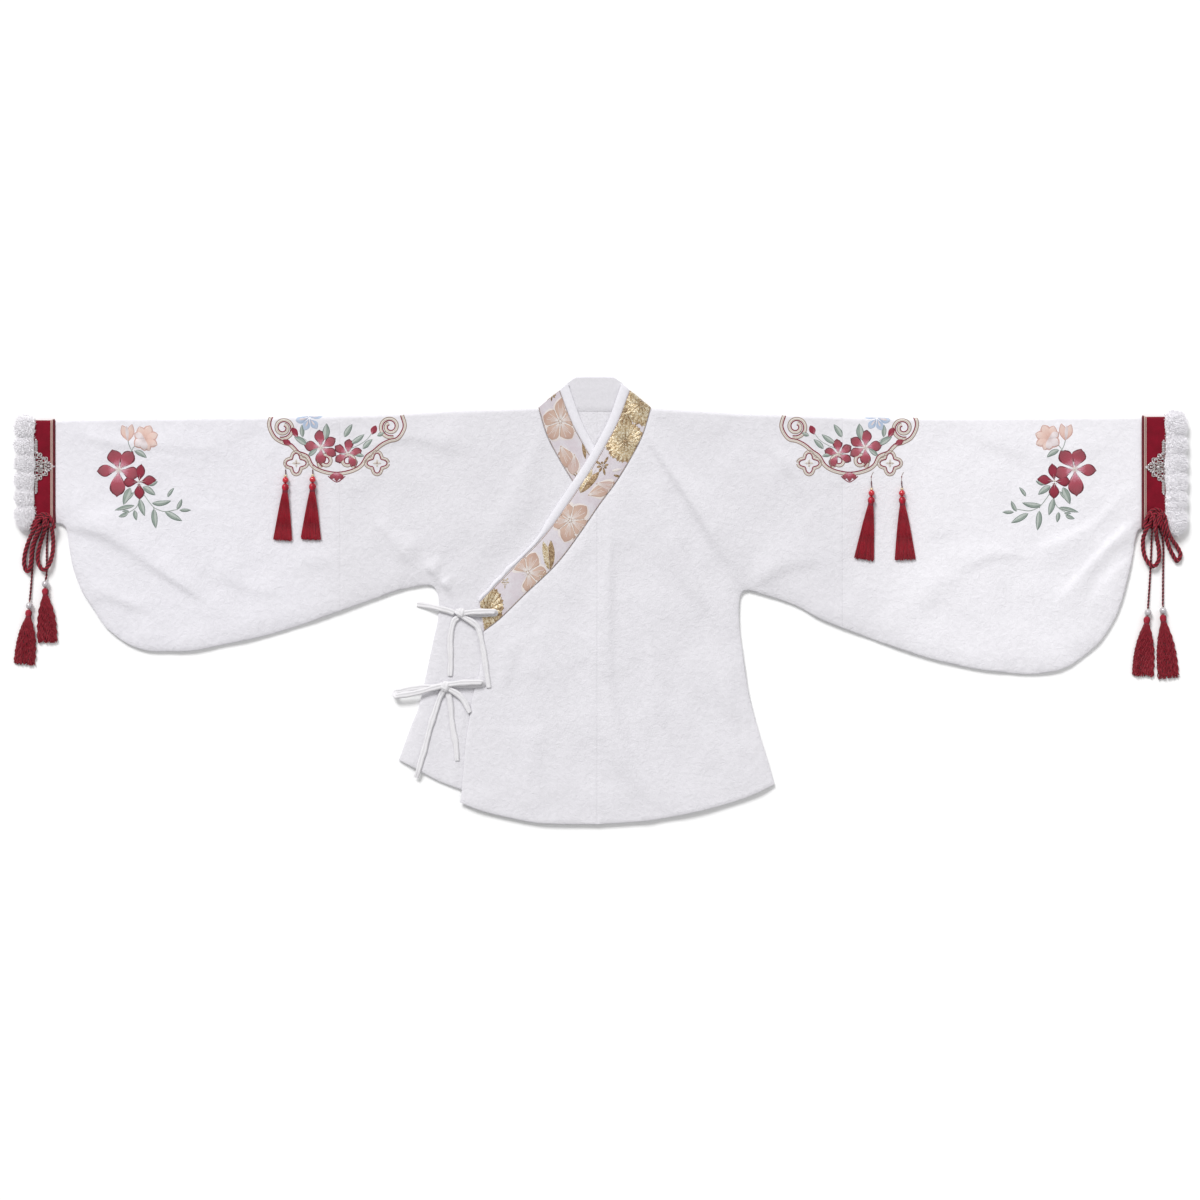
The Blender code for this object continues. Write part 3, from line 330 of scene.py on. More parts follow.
def circle(count):
    """Angles once round, evenly apart."""
    return np.arange(count) * 2 * math.pi / count


def unit(vectors):
    """The vectors at length one."""
    return vectors / np.linalg.norm(vectors, axis=-1, keepdims=True)


def distance_along(path):
    """How far along the polyline each of its points lies."""
    return np.concatenate([[0], np.cumsum(np.linalg.norm(np.diff(path, axis=0), axis=1))])


def polar(x, y, distance, angle):
    """The place at a distance from x, y, the angle in radians."""
    return x + distance * math.cos(angle), y + distance * math.sin(angle)


def catmull(route, spacing):
    """Points at an even spacing on a smooth curve through the route."""
    points = np.array(route, float)
    padded = np.vstack([2 * points[0] - points[1], points, 2 * points[-1] - points[-2]])
    dense = []
    for a, b, c, d in zip(padded, padded[1:], padded[2:], padded[3:]):
        for t in np.linspace(0, 1, 20, endpoint=False):
            dense.append(0.5 * (
                2 * b + (c - a) * t + (2 * a - 5 * b + 4 * c - d) * t ** 2
                + (3 * b - a - 3 * c + d) * t ** 3))
    dense.append(points[-1])
    return resample(dense, spacing)


def resample(route, spacing):
    """Points at an even spacing on the polyline."""
    dense = np.array(route, float)
    length = distance_along(dense)
    wanted = np.linspace(0, length[-1], max(1, round(length[-1] / spacing)) + 1)
    return np.stack([np.interp(wanted, length, column) for column in dense.T], axis=1)


def offset_line(line, distance):
    """The polyline moved sideways, to the right of its direction."""
    points = np.array(line, float)
    steps = unit(np.gradient(points, axis=0))
    return points + distance * np.stack([steps[:, 1], -steps[:, 0]], axis=1)


def mirrored(points):
    """The points on the other side of the collar's middle."""
    points = np.array(points, float)
    return np.column_stack([2 * COLLAR_AXIS_X - points[:, 0], points[:, 1]])


def smooth_step(value):
    """From 0 to 1, level at both ends."""
    value = np.clip(value, 0.0, 1.0)
    return value * value * (3 - 2 * value)


def away(points, line, along=False):
    """Distance from each point to a polyline, with the side that it is on and the share along."""
    points = np.asarray(points, float)
    line = np.asarray(line, float)
    best = np.full(len(points), np.inf)
    side = np.zeros(len(points))
    share = np.zeros(len(points))
    steps = np.diff(line, axis=0)
    lengths = np.linalg.norm(steps, axis=1)
    starts = np.concatenate([[0], np.cumsum(lengths)])
    for k, step in enumerate(steps):
        if lengths[k] == 0:
            continue
        rel = points - line[k]
        t = np.clip(rel @ step / lengths[k] ** 2, 0, 1)
        gap = rel - t[:, None] * step
        distance = np.hypot(gap[:, 0], gap[:, 1])
        nearer = distance < best
        best[nearer] = distance[nearer]
        cross = step[0] * rel[:, 1] - step[1] * rel[:, 0]
        side[nearer] = np.sign(cross[nearer])
        share[nearer] = ((starts[k] + t * lengths[k]) / starts[-1])[nearer]
    return (best, side, share) if along else best


def inside(points, outline):
    """Whether each point lies within the outline."""
    hit = np.zeros(len(points), bool)
    x, y = points[:, 0], points[:, 1]
    for (ax, ay), (bx, by) in zip(outline, np.roll(outline, -1, axis=0)):
        if ay == by:
            continue
        crosses = ((ay > y) != (by > y)) & (x < ax + (y - ay) * (bx - ax) / (by - ay))
        hit ^= crosses
    return hit


# How high the cloth lies

def guard_edge(row):
    """Where the guard strip beyond a collar row ends."""
    edge = np.array(row[2:4], float)
    return edge + unit(edge - row[:2]) * row[4]


COLLAR_SEAM = np.array([row[:2] for row in COLLAR_RUN], float)
OUTER_EDGE = np.array([guard_edge(row) for row in reversed(COLLAR_RUN)] + list(OVERLAP_EDGE))
SWELL_ANGLES = seeded.uniform(0, math.pi, SWELL_WAVES)
SWELL_LENGTHS = np.geomspace(SWELL_SHORTEST, SWELL_LONGEST, SWELL_WAVES)
SWELL_SHIFTS = seeded.uniform(0, 2 * math.pi, SWELL_WAVES)


def swell(points):
    """Slow uneven rises of cloth that has been laid by hand, from 0 to about 1."""
    total = np.zeros(len(points))
    for angle, length, shift in zip(SWELL_ANGLES, SWELL_LENGTHS, SWELL_SHIFTS):
        along = points[:, 0] * math.cos(angle) + points[:, 1] * math.sin(angle)
        total += np.sin(2 * math.pi * along / length + shift) * length / SWELL_LONGEST
    return 0.5 + 0.5 * np.tanh(total / 1.6)


def folds(points):
    """The listed folds: uneven ridges, steeper on one side."""
    total = np.zeros(len(points))
    for k, (half_width, height, lean, route) in enumerate(FOLDS):
        distance, side, share = away(points, catmull(route, ROUTE_STEP), along=True)
        width = half_width * np.where(side > 0, lean, 1.0) * (0.8 + 0.4 * np.sin(5 * share + k))
        uneven = 1 + 0.22 * np.sin(9 * share + 2.1 * k)
        taper = smooth_step(2.6 * (1 - share)) * (0.25 + 0.75 * smooth_step(4 * share))
        ridge = height * uneven * taper * np.exp(-((distance / width) ** 2))
        total = np.maximum(total, ridge) + 0.25 * np.minimum(total, ridge)
    return total


def pucker(points, line, wave):
    """Short ripples across a sewn seam."""
    distance, _, share = away(points, line, along=True)
    length = distance_along(line)[-1]
    ripple = 0.5 + 0.5 * np.sin(2 * math.pi * share * length / wave + 2 * np.sin(share * 21))
    return PUCKER_HEIGHT * ripple * np.exp(-((distance / PUCKER_REACH) ** 2))


def quiet(points):
    """0 where small pieces lie on the cloth, 1 elsewhere."""
    share = np.ones(len(points))
    for low_x, low_y, high_x, high_y in QUIET_BOXES:
        dx = np.maximum(np.maximum(low_x - points[:, 0], points[:, 0] - high_x), 0)
        dy = np.maximum(np.maximum(low_y - points[:, 1], points[:, 1] - high_y), 0)
        share = np.minimum(share, smooth_step(np.hypot(dx, dy) / QUIET_EASE))
    return share


def sewn_lift(points, sewn, full):
    """Full height, and down at the sewn seams."""
    near = np.sin(math.pi / 2 * np.clip(away(points, sewn) / EDGE_EASE, 0, 1))
    return SEWN_LIFT + (full - SEWN_LIFT) * near


def outer_edge_x(points):
    """The outer front's edge at each point's height in the picture."""
    return np.interp(points[:, 1], OUTER_EDGE[::-1, 1], OUTER_EDGE[::-1, 0])


def under_lift(points, sewn):
    """The inner front: low under the outer front, rising away from its edge."""
    clear = np.where(points[:, 0] < outer_edge_x(points), away(points, OUTER_EDGE), 0.0)
    rise = smooth_step((clear - RISE_START) / RISE_LENGTH)
    return sewn_lift(points, sewn, INNER_LIFT + (OUTER_LIFT - INNER_LIFT) * rise)


def relief(points, seams, still):
    """Folds and swells, fading where other pieces lie, with ripples along the sewn seams."""
    calm = smooth_step(away(points, still) / 16.0) * quiet(points)
    total = (folds(points) + SWELL_HEIGHT * swell(points)) * calm
    for line, wave in seams:
        total += pucker(points, line, wave) * quiet(points)
    return total


LEFT_SIDE_LINE = catmull(LEFT_SIDE, SIDE_STEP)
RIGHT_SIDE_LINE = catmull(RIGHT_SIDE, SIDE_STEP)
LEFT_LOWER_LINE = catmull(LEFT_SLEEVE_LOWER, SIDE_STEP)
RIGHT_LOWER_LINE = catmull(RIGHT_SLEEVE_LOWER, SIDE_STEP)
LEFT_ARM_SEAM = np.array(((370.0, -41.7), (370.0, 276.0)))
RIGHT_ARM_SEAM = np.array(((-400.0, -16.0), (-400.0, 277.0)))
FRONT_SEAM = np.array(((CENTRE_X, 138.0), (CENTRE_X, LEFT_HEM_Y)))
TIE_STILL = np.array(((-282.0, -6.0), (-225, -19), (-232, -116), (-240, -132), (-226, -246)))
TIE_STILL_LEFT = np.array(((-316.0, -144), (-240, -132), (-262, -190), (-283, -272)))
CUFF_STILL_LEFT = np.array(((829.0, 112.0), (829.0, 281.0)))
CUFF_STILL_RIGHT = np.array(((-836.0, 120.0), (-836.0, 276.0)))


def left_height(points):
    """Height of the top surface of the outer left front and its overlap panel."""
    points = np.asarray(points, float)
    still = np.vstack([COLLAR_SEAM[::-1], OVERLAP_EDGE[:1], OVERLAP_EDGE])
    seams = ((LEFT_ARM_SEAM, 17.0), (FRONT_SEAM, 15.0), (LEFT_SIDE_LINE, 19.0))
    return sewn_lift(points, LEFT_SIDE_LINE, OUTER_LIFT) + WALL + relief(points, seams, still)


def edge_ridge(points, edge_x):
    """The inner front's soft rise along the overlap's edge, below the upper tie."""
    clear = away(points, OUTER_EDGE)
    width = np.where(clear < EDGE_RIDGE_AT, 4.0, 14.0)
    ridge = EDGE_RIDGE * np.exp(-(((clear - EDGE_RIDGE_AT) / width) ** 2))
    return ridge * (points[:, 0] < edge_x) * smooth_step((-110.0 - points[:, 1]) / 60.0)


def right_height(points):
    """Height of the top surface of the inner right front."""
    points = np.asarray(points, float)
    lift = under_lift(points, RIGHT_SIDE_LINE)
    edge_x = outer_edge_x(points)
    shown = smooth_step((edge_x - points[:, 0] - 8.0) / 40.0)
    still = np.vstack([mirrored(COLLAR_SEAM), OUTER_EDGE])
    calm = np.minimum(away(points, TIE_STILL), away(points, TIE_STILL_LEFT))
    seams = ((RIGHT_ARM_SEAM, 17.0), (RIGHT_SIDE_LINE, 19.0))
    uneven = relief(points, seams, still) * shown * smooth_step((calm - 4.0) / 16.0)
    return lift + WALL + uneven + edge_ridge(points, edge_x)


def sleeve_height(points, lower, arm_seam, still):
    """Height of the top surface of a sleeve."""
    points = np.asarray(points, float)
    seams = ((arm_seam, 17.0), (lower, 21.0))
    return sewn_lift(points, lower, OUTER_LIFT) + WALL + relief(points, seams, still)


def left_sleeve_height(points):
    return sleeve_height(points, LEFT_LOWER_LINE, LEFT_ARM_SEAM, CUFF_STILL_LEFT)


def right_sleeve_height(points):
    return sleeve_height(points, RIGHT_LOWER_LINE, RIGHT_ARM_SEAM, CUFF_STILL_RIGHT)


def front_height(points):
    """Height of whichever cloth shows on top at each point of the sleeves and shoulders."""
    points = np.asarray(points, float)
    height = np.zeros(len(points))
    for low, high, kind in (
            (-1e9, -400.0, right_sleeve_height), (-400.0, 0.0, right_height),
            (0.0, 370.0, left_height), (370.0, 1e9, left_sleeve_height)):
        here = (points[:, 0] >= low) & (points[:, 0] < high)
        if here.any():
            height[here] = kind(points[here])
    return height


def fold_y(x):
    """Where the half-round fold at the shoulder and the sleeve's top starts, at each x."""
    rows = sorted((*RIGHT_SLEEVE_TOP, *RIGHT_SHOULDER, *LEFT_SHOULDER, *LEFT_SLEEVE_TOP))
    return np.interp(x, [r[0] for r in rows], [r[1] for r in rows]) - FLAT_TOP / 2


def drape(points, up):
    """Places on the cloth, up above it. Past the shoulder line they go round its fold."""
    points = np.asarray(points, float)
    line = fold_y(points[:, 0])
    over = np.maximum(points[:, 1] - line, 0.0)
    flat = np.column_stack([points[:, 0], np.minimum(points[:, 1], line)])
    height = front_height(flat)
    radius = height / 2
    turn = np.minimum(over / radius, math.pi)
    under = np.maximum(over - math.pi * radius, 0.0)
    reach = radius + np.where(turn < math.pi, up, -0.8)
    y = flat[:, 1] + reach * np.sin(turn) - under
    return np.column_stack([points[:, 0], y, np.maximum(radius + reach * np.cos(turn), 0.05)])


# Meshes

class Shape:
    """Points, faces, material numbers and texture places of one piece."""

    def __init__(self):
        self.points = []
        self.places = []
        self.faces = []
        self.numbers = []
        self.count = 0

    def add(self, points, faces, number=0, places=None):
        points = np.asarray(points, float).reshape(-1, 3)
        start = self.count
        self.points.append(points)
        self.places.append(np.zeros((len(points), 2)) if places is None else np.asarray(places, float))
        self.faces += [tuple(i + start for i in face) for face in faces]
        self.numbers += [number] * len(faces)
        self.count += len(points)

    def tube(self, path, radius, around=6, number=0, start_cap=True):
        points, faces, places = tube(path, radius, around, start_cap)
        self.add(points, faces, number, places)

    def object(self, name, materials, replaces=()):
        mesh = bpy.data.meshes.new(name)
        points = np.vstack(self.points)
        points[:, 2] = np.maximum(points[:, 2], 0.0)
        mesh.from_pydata(points * MM, [], self.faces)
        for material in materials:
            mesh.materials.append(material)
        mesh.polygons.foreach_set("material_index", self.numbers)
        layer = mesh.uv_layers.new(name="place")
        corners = np.zeros(len(mesh.loops), np.int32)
        mesh.loops.foreach_get("vertex_index", corners)
        layer.data.foreach_set("uv", np.vstack(self.places)[corners].astype(np.float32).ravel())
        mesh.validate()
        mesh.shade_smooth()
        mesh.set_sharp_from_angle(angle=SHARP_ANGLE)
        obj = bpy.data.objects.new(name, mesh)
        bpy.context.scene.collection.objects.link(obj)
        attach(obj, BODY)
        if replaces:
            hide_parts(*replaces)
        return obj


def grid_faces(rows, columns, ring=False, tube=False):
    """Faces of points stored row by row. Ring joins the last row to the first, tube the columns."""
    faces = []
    for row in range(rows if ring else rows - 1):
        after = (row + 1) % rows
        for column in range(columns if tube else columns - 1):
            side = (column + 1) % columns
            faces.append((
                row * columns + column, row * columns + side, after * columns + side,
                after * columns + column))
    return faces


def closed_wall(outer, inner, faces):
    """Points and faces of a wall: the faces on the outer points, on the inner ones, and a rim."""
    count = len(outer)
    made = [tuple(face) for face in faces]
    made += [tuple(i + count for i in reversed(face)) for face in faces]
    sides = {}
    for face in faces:
        for a, b in zip(face, (*face[1:], face[0])):
            sides.setdefault((min(a, b), max(a, b)), []).append((a, b))
    for uses in sides.values():
        if len(uses) == 1:
            a, b = uses[0]
            made.append((b, a, a + count, b + count))
    return np.vstack([outer, inner]), made


def walled(name, outer, inner, faces, material, node):
    """A piece of cloth between its outer and its inner points."""
    points, faces = closed_wall(outer, inner, faces)
    shape = Shape()
    shape.add(points, faces, 0, points[:, :2])
    return shape.object(name, [material], [node])


def turning_frames(path):
    """Two directions across the path at each point, which don't spin about it."""
    steps = unit(np.gradient(path, axis=0))
    first = np.cross(steps[0], (0.0, 0.0, 1.0))
    if np.linalg.norm(first) < 0.2:
        first = np.cross(steps[0], (1.0, 0.0, 0.0))
    sides = [unit(first)]
    for step in steps[1:]:
        sides.append(unit(sides[-1] - step * (sides[-1] @ step)))
    sides = np.array(sides)
    return sides, np.cross(steps, sides)


def rings(path, sides, ups, radius, turns):
    """A ring of points round each point of the path."""
    ring = sides[:, None] * np.cos(turns)[:, None] + ups[:, None] * np.sin(turns)[:, None]
    return (path[:, None] + ring * radius[:, None, None]).reshape(-1, 3)


def tube_faces(rows, around, start_cap=True):
    """Faces over rings of points, with a cap on each end."""
    faces = [face[::-1] for face in grid_faces(rows, around, tube=True)]
    if start_cap:
        faces.append(tuple(range(around)))
    faces.append(tuple(reversed(range((rows - 1) * around, rows * around))))
    return faces


def tube(path, radius, around=6, start_cap=True):
    """Points, faces and places of a tube along the path, its radius one number or one a point."""
    path = np.asarray(path, float)
    turns = circle(around)
    points = rings(path, *turning_frames(path), np.broadcast_to(radius, (len(path),)), turns)
    places = np.stack([np.repeat(distance_along(path), around), np.tile(turns, len(path))], axis=1)
    return points, tube_faces(len(path), around, start_cap), places


def rope(shape, path, thick, strands=3, around=9, number=0, turn=0.0):
    """Strands laid round each other along the path. Their second texture place faces outwards, and the
    rope material paints shade and highlight from it.
    """
    fine = resample(path, thick * 0.15)
    sides, ups = turning_frames(fine)
    length = distance_along(fine)
    turns = circle(around)
    ends = np.minimum(length, length[-1] - length)
    for k in range(strands):
        angle = 2 * math.pi * (length / (ROPE_PITCH * thick) + k / strands) + turn
        out = sides * np.cos(angle)[:, None] + ups * np.sin(angle)[:, None]
        middle = fine + thick * STRAND_OFFSET * out
        ahead = unit(np.gradient(middle, axis=0))
        out = unit(out - ahead * np.sum(out * ahead, axis=1)[:, None])
        radius = thick * STRAND_RADIUS * np.sqrt(np.clip(0.35 + ends / (0.5 * thick), 0, 1))
        points = rings(middle, out, np.cross(ahead, out), radius, turns)
        places = np.stack([np.repeat(length, around), np.tile(np.cos(turns), len(fine))], axis=1)
        shape.add(points, tube_faces(len(fine), around), number, places)


def ball(shape, centre, half, around=20, rings=12, number=0, axis="z"):
    """A smooth closed round form with poles on its axis."""
    points = [(0, 0, 1)]
    for i in range(1, rings):
        low = math.pi * i / rings
        for k in range(around):
            turn = 2 * math.pi * k / around
            points.append((*polar(0, 0, math.sin(low), turn), math.cos(low)))
    points.append((0, 0, -1))
    faces = [(0, 1 + k, 1 + (k + 1) % around) for k in range(around)]
    for i in range(rings - 2):
        for k in range(around):
            a, b = 1 + i * around + k, 1 + i * around + (k + 1) % around
            faces.append((a, a + around, b + around, b))
    last = len(points) - 1
    faces += [(last, last - around + (k + 1) % around, last - around + k) for k in range(around)]
    points = np.array(points, float)
    places = points[:, :2]
    if axis == "y":
        points = points[:, [0, 2, 1]] * (1, 1, -1)
    shape.add(points * np.asarray(half, float) + np.asarray(centre, float), faces, number, places)


# Materials

class Maker:
    """Builds one material's nodes."""

    def __init__(self, name, colour, roughness, **sockets):
        self.material = bpy.data.materials.new(name)
        self.material.use_nodes = True
        self.tree = self.material.node_tree
        self.shader = self.tree.nodes["Principled BSDF"]
        self.shader.inputs["Base Color"].default_value = colour
        self.shader.inputs["Roughness"].default_value = roughness
        for socket, value in sockets.items():
            self.shader.inputs[socket.replace("_", " ")].default_value = value
        self.material.diffuse_color = colour
        self.normal = None
        self.coordinates = self.node("TexCoord")

    def put(self, value, socket):
        """Links another node's socket to this one, or sets a plain value."""
        if isinstance(value, bpy.types.NodeSocket):
            self.tree.links.new(value, socket)
        else:
            socket.default_value = value

    def node(self, kind, **inputs):
        made = self.tree.nodes.new("ShaderNode" + kind)
        for key, value in inputs.items():
            self.put(value, made.inputs[key])
        return made

    def sum(self, operation, *values):
        made = self.node("Math")
        made.operation = operation
        for k, value in enumerate(values):
            self.put(value, made.inputs[k])
        return made.outputs[0]

    def wave(self, factor, number):
        """The sine of the factor times a number."""
        return self.sum("SINE", self.sum("MULTIPLY", factor, number))

    def noise(self, size, detail=2.0, rough=0.5, distortion=0.0):
        """Noise whose patches are about this many millimetres across."""
        made = self.node(
            "TexNoise", Vector=self.coordinates.outputs["Object"], Scale=1000.0 / size,
            Detail=detail, Roughness=rough, Distortion=distortion)
        return made.outputs[0]

    def apart(self, which):
        """The numbers of the object's own place, or of the piece's texture place, UV."""
        return self.node("SeparateXYZ", Vector=self.coordinates.outputs[which]).outputs

    def ramp(self, factor, stops):
        made = self.node("ValToRGB", Fac=factor)
        elements = made.color_ramp.elements
        while len(elements) < len(stops):
            elements.new(0.5)
        for element, (place, colour) in zip(elements, stops):
            element.position = place
            element.color = colour
        return made.outputs["Color"]

    def mask(self, factor, low, high):
        """Black below the low value and white above the high one."""
        return self.ramp(factor, ((low, (0, 0, 0, 1)), (high, (1, 1, 1, 1))))

    def mix(self, factor, one, two):
        made = self.node("Mix")
        made.data_type = "RGBA"
        for socket, value in ((0, factor), (6, one), (7, two)):
            self.put(value, made.inputs[socket])
        return made.outputs[2]

    def colour(self, socket):
        self.tree.links.new(socket, self.shader.inputs["Base Color"])

    def bump(self, height, depth):
        """Adds a bump this many millimetres deep."""
        made = self.node("Bump", Height=height, Distance=depth * MM, Strength=1.0)
        if self.normal:
            self.tree.links.new(self.normal, made.inputs["Normal"])
        self.normal = made.outputs["Normal"]
        self.tree.links.new(self.normal, self.shader.inputs["Normal"])


def shade(colour, factor):
    """The colour made darker or lighter."""
    return tuple(c * factor for c in colour[:3]) + (1.0,)


def pile(name, colour, patch_size, depth, grain=1.1, along_x=()):
    """Short brushed pile: clumps, streaks and a fine grain, with painted shade in the low patches of its
    bump. Its tone may change from side to side.
    """
    colour = linear(colour)
    made = Maker(name, colour, 0.95, Sheen_Weight=0.25, Sheen_Roughness=0.6, Specular_IOR_Level=0.2)
    patches = made.noise(patch_size, 3.0, 0.6, 0.6)
    low = shade(colour, PILE_SHADE)
    if along_x:
        share = made.sum("ADD", made.apart("Object")[0], 0.5)
        tones = [(x * MM + 0.5, linear(tone)) for x, tone in along_x]
        colour = made.ramp(share, tones)
        low = made.ramp(share, [(place, shade(tone, PILE_SHADE)) for place, tone in tones])
    # Low patches of the bump below get the darker tone: painted shade.
    made.colour(made.mix(made.mask(patches, 0.38, 0.62), low, colour))
    made.bump(patches, depth)
    made.bump(made.noise(patch_size * 0.42, 3.0, 0.65, 0.8), depth * 0.55)
    made.bump(made.noise(grain, 1.0), 0.16)
    return made.material


def fur_material(name, colour, depth):
    """White fur, in soft clumps, painted a little darker where its bump sinks: painted shade."""
    made = Maker(name, colour, 0.9, Sheen_Weight=0.6, Sheen_Roughness=0.6, Specular_IOR_Level=0.1)
    clumps = made.noise(5.0, 3.0, 0.6, 0.5)
    # The clumps' low parts, sunk by the same bump, are painted darker: painted shade.
    made.colour(made.mix(clumps, shade(colour, 0.96), colour))
    made.bump(clumps, depth)
    return made.material


def stitches(name, *stops, thread=0.5, by_side=None):
    """Satin stitch: colour along the motif, threads lying along it, from its texture place. The grooves
    between threads are painted darker: painted shade.
    """
    stops = [(place, linear(colour)) for place, *colour in stops]
    made = Maker(name, stops[0][1], 0.5, Sheen_Weight=0.2)
    along, across = made.apart("UV")[:2]
    uneven = made.sum("MULTIPLY", made.sum("SUBTRACT", made.noise(2.4), 0.5), 0.34)
    tone = made.ramp(made.sum("ADD", along, uneven), stops)
    if by_side:
        half = made.mask(made.sum("ADD", across, 0.5), 0.49, 0.53)
        tone = made.mix(half, tone, linear(by_side))
    threads = made.wave(across, 2 * math.pi * 8)
    # Darker in the grooves between threads, which the bump below sinks: painted shade.
    made.colour(made.mix(
        made.sum("MULTIPLY_ADD", threads, 0.14, 0.86), shade(stops[0][1], 0.55), tone))
    made.bump(threads, 0.12 * thread)
    made.bump(made.noise(0.9), 0.18)
    return made.material


def strands_material(name, colour, twist, roughness, sheen):
    """Twisted or combed threads along a strand, painted darker in the grooves between threads and
    lighter on their ridges: painted shade and painted highlight.
    """
    colour = linear(colour)
    made = Maker(name, colour, roughness, Sheen_Weight=sheen, Sheen_Roughness=0.4)
    along, across = made.apart("UV")[:2]
    threads = made.sum("SINE", made.sum(
        "ADD", made.sum("MULTIPLY", along, twist), made.sum("MULTIPLY", across, 3.0)))
    # Painted shade in the grooves and painted highlight on the ridges, following the threads' bump.
    lit = made.sum("MULTIPLY_ADD", threads, 0.4, 0.55)
    made.colour(made.mix(lit, shade(colour, 0.4), shade(colour, 1.1)))
    made.bump(threads, 0.12)
    made.bump(made.noise(1.6), 0.2)
    return made.material


def rope_material(name, colour, groove_shade=0.3):
    """Twisted yarn, with painted shade where a strand turns in towards the rope's middle, a painted
    highlight where it faces out, and fine threads on it.
    """
    colour = linear(colour)
    made = Maker(name, colour, 0.5, Sheen_Weight=0.08, Sheen_Roughness=0.4)
    along, outward = made.apart("UV")[:2]
    threads = made.sum("SINE", made.sum(
        "ADD", made.sum("MULTIPLY", along, 4.2), made.sum("MULTIPLY", outward, 2.0)))
    depth = made.sum("ADD", outward, made.sum("MULTIPLY", threads, 0.12))
    # Dark in the grooves and up to 1.7 times lighter where a strand faces out: painted shade and painted
    # highlight.
    made.colour(made.ramp(made.sum("MULTIPLY_ADD", depth, 0.5, 0.5), (
        (0.5, shade(colour, groove_shade)), (0.68, shade(colour, 0.72)), (0.86, colour),
        (1.0, shade(colour, 1.7)))))
    made.bump(threads, 0.25)
    made.bump(made.noise(1.4), 0.2)
    return made.material


def band_velvet(name, colour):
    """Matt velvet with a cloudy pile, painted darker in the low patches of its bump and lighter on the
    raised ones: painted shade and painted sheen.
    """
    colour = linear(colour)
    made = Maker(
        name, colour, 0.9, Sheen_Weight=0.05, Sheen_Roughness=0.5, Specular_IOR_Level=0.25)
    cloudy = made.noise(14.0, 3.0, 0.6)
    # The cloudy tone follows the bump: painted shade in the low patches, painted sheen on the raised
    # ones.
    made.colour(made.mix(cloudy, shade(colour, 0.62), shade(colour, 1.3)))
    made.bump(made.noise(0.9, 1.0), 0.14)
    made.bump(cloudy, 0.5)
    return made.material


def brocade_ground(name, colour, clouds):
    """Fine diagonal weave on a pale ground with clouds of a second colour. The weave's grooves are
    painted darker: painted shade.
    """
    ground = linear(colour)
    made = Maker(name, ground, 0.5, Sheen_Weight=0.2)
    x, y = made.apart("Object")[:2]
    weave = made.wave(made.sum("ADD", x, y), 2 * math.pi / WEAVE_STEP)
    pink = made.mix(made.mask(made.noise(20.0, 3.0, 0.6), 0.4, 0.6), linear(clouds), ground)
    # The weave's grooves, sunk by the bump below, are painted darker: painted shade.
    made.colour(made.mix(made.sum("MULTIPLY_ADD", weave, 0.12, 0.88), shade(ground, 0.8), pink))
    made.bump(weave, 0.06)
    made.bump(made.noise(1.2, 2.0), 0.1)
    return made.material


def smooth_finish(name, colour, roughness, metallic=0.0, coat=0.0, grain=0.03):
    """Pearl, polished bead or metal, with a faint grain."""
    colour = linear(colour)
    made = Maker(name, colour, roughness, Metallic=metallic, Coat_Weight=coat, Coat_Roughness=0.08)
    made.colour(made.mix(made.noise(3.0, 2.0), shade(colour, 0.86), colour))
    made.bump(made.noise(1.4, 2.0), grain)
    return made.material


def satin(name, colour, pleats=0.0):
    """Smooth ribbon satin with a fine rib across it, and soft pleats along it. Its low cloudy patches
    are painted a little darker: painted shade.
    """
    colour = linear(colour)
    made = Maker(name, colour, 0.5, Sheen_Weight=0.3, Sheen_Roughness=0.4)
    along, across = made.apart("UV")[:2]
    cloudy = made.noise(6.0, 2.0)
    # Low cloudy patches of the bump below are painted a little darker: painted shade.
    made.colour(made.mix(cloudy, shade(colour, 0.93), colour))
    made.bump(made.wave(along, 2 * math.pi * 1.6), 0.05)
    made.bump(cloudy, 0.35)
    if pleats:
        wander = made.sum("MULTIPLY", made.noise(16.0), 3.0)
        made.bump(made.sum("SINE", made.sum("MULTIPLY_ADD", across, 1.3, wander)), pleats)
    return made.material


white_pile = pile("plush_white", BODY_PLUSH, 8.0, 1.0, along_x=(
    (-480, RIGHT_PLUSH), (-390, BODY_PLUSH), (350, BODY_PLUSH), (490, LEFT_PLUSH)))
facing_pile = pile("facing_white", (227, 225, 230), 5.0, 0.3, 0.9)
guard_pile = pile("guard_white", (239, 237, 243), 5.0, 0.3, 0.9)
fur_under = fur_material("fur_under", (0.97, 0.955, 0.98, 1.0), 0.2)
# The hair of the two cuffs differs in tone only to even out how the key light falls on each side, the
# right cuff's lighter: painted light.
fur_hair = {"left": fur_material("fur_hair_left", (0.95, 0.935, 0.965, 1.0), 0.08),
            "right": fur_material("fur_hair_right", (0.99, 0.975, 1.0, 1.0), 0.08)}
velvet = band_velvet("velvet_crimson", BAND_RED)
brocade = brocade_ground("brocade_ground", (226, 220, 226), (220, 209, 216))
rope_red = rope_material("rope_crimson", (134, 2, 32), 0.12)
silk_red = strands_material("silk_crimson", (190, 2, 42), 0.2, 0.4, 0.04)
yarn_red = strands_material("yarn_crimson", (158, 3, 36), 3.0, 0.5, 0.04)
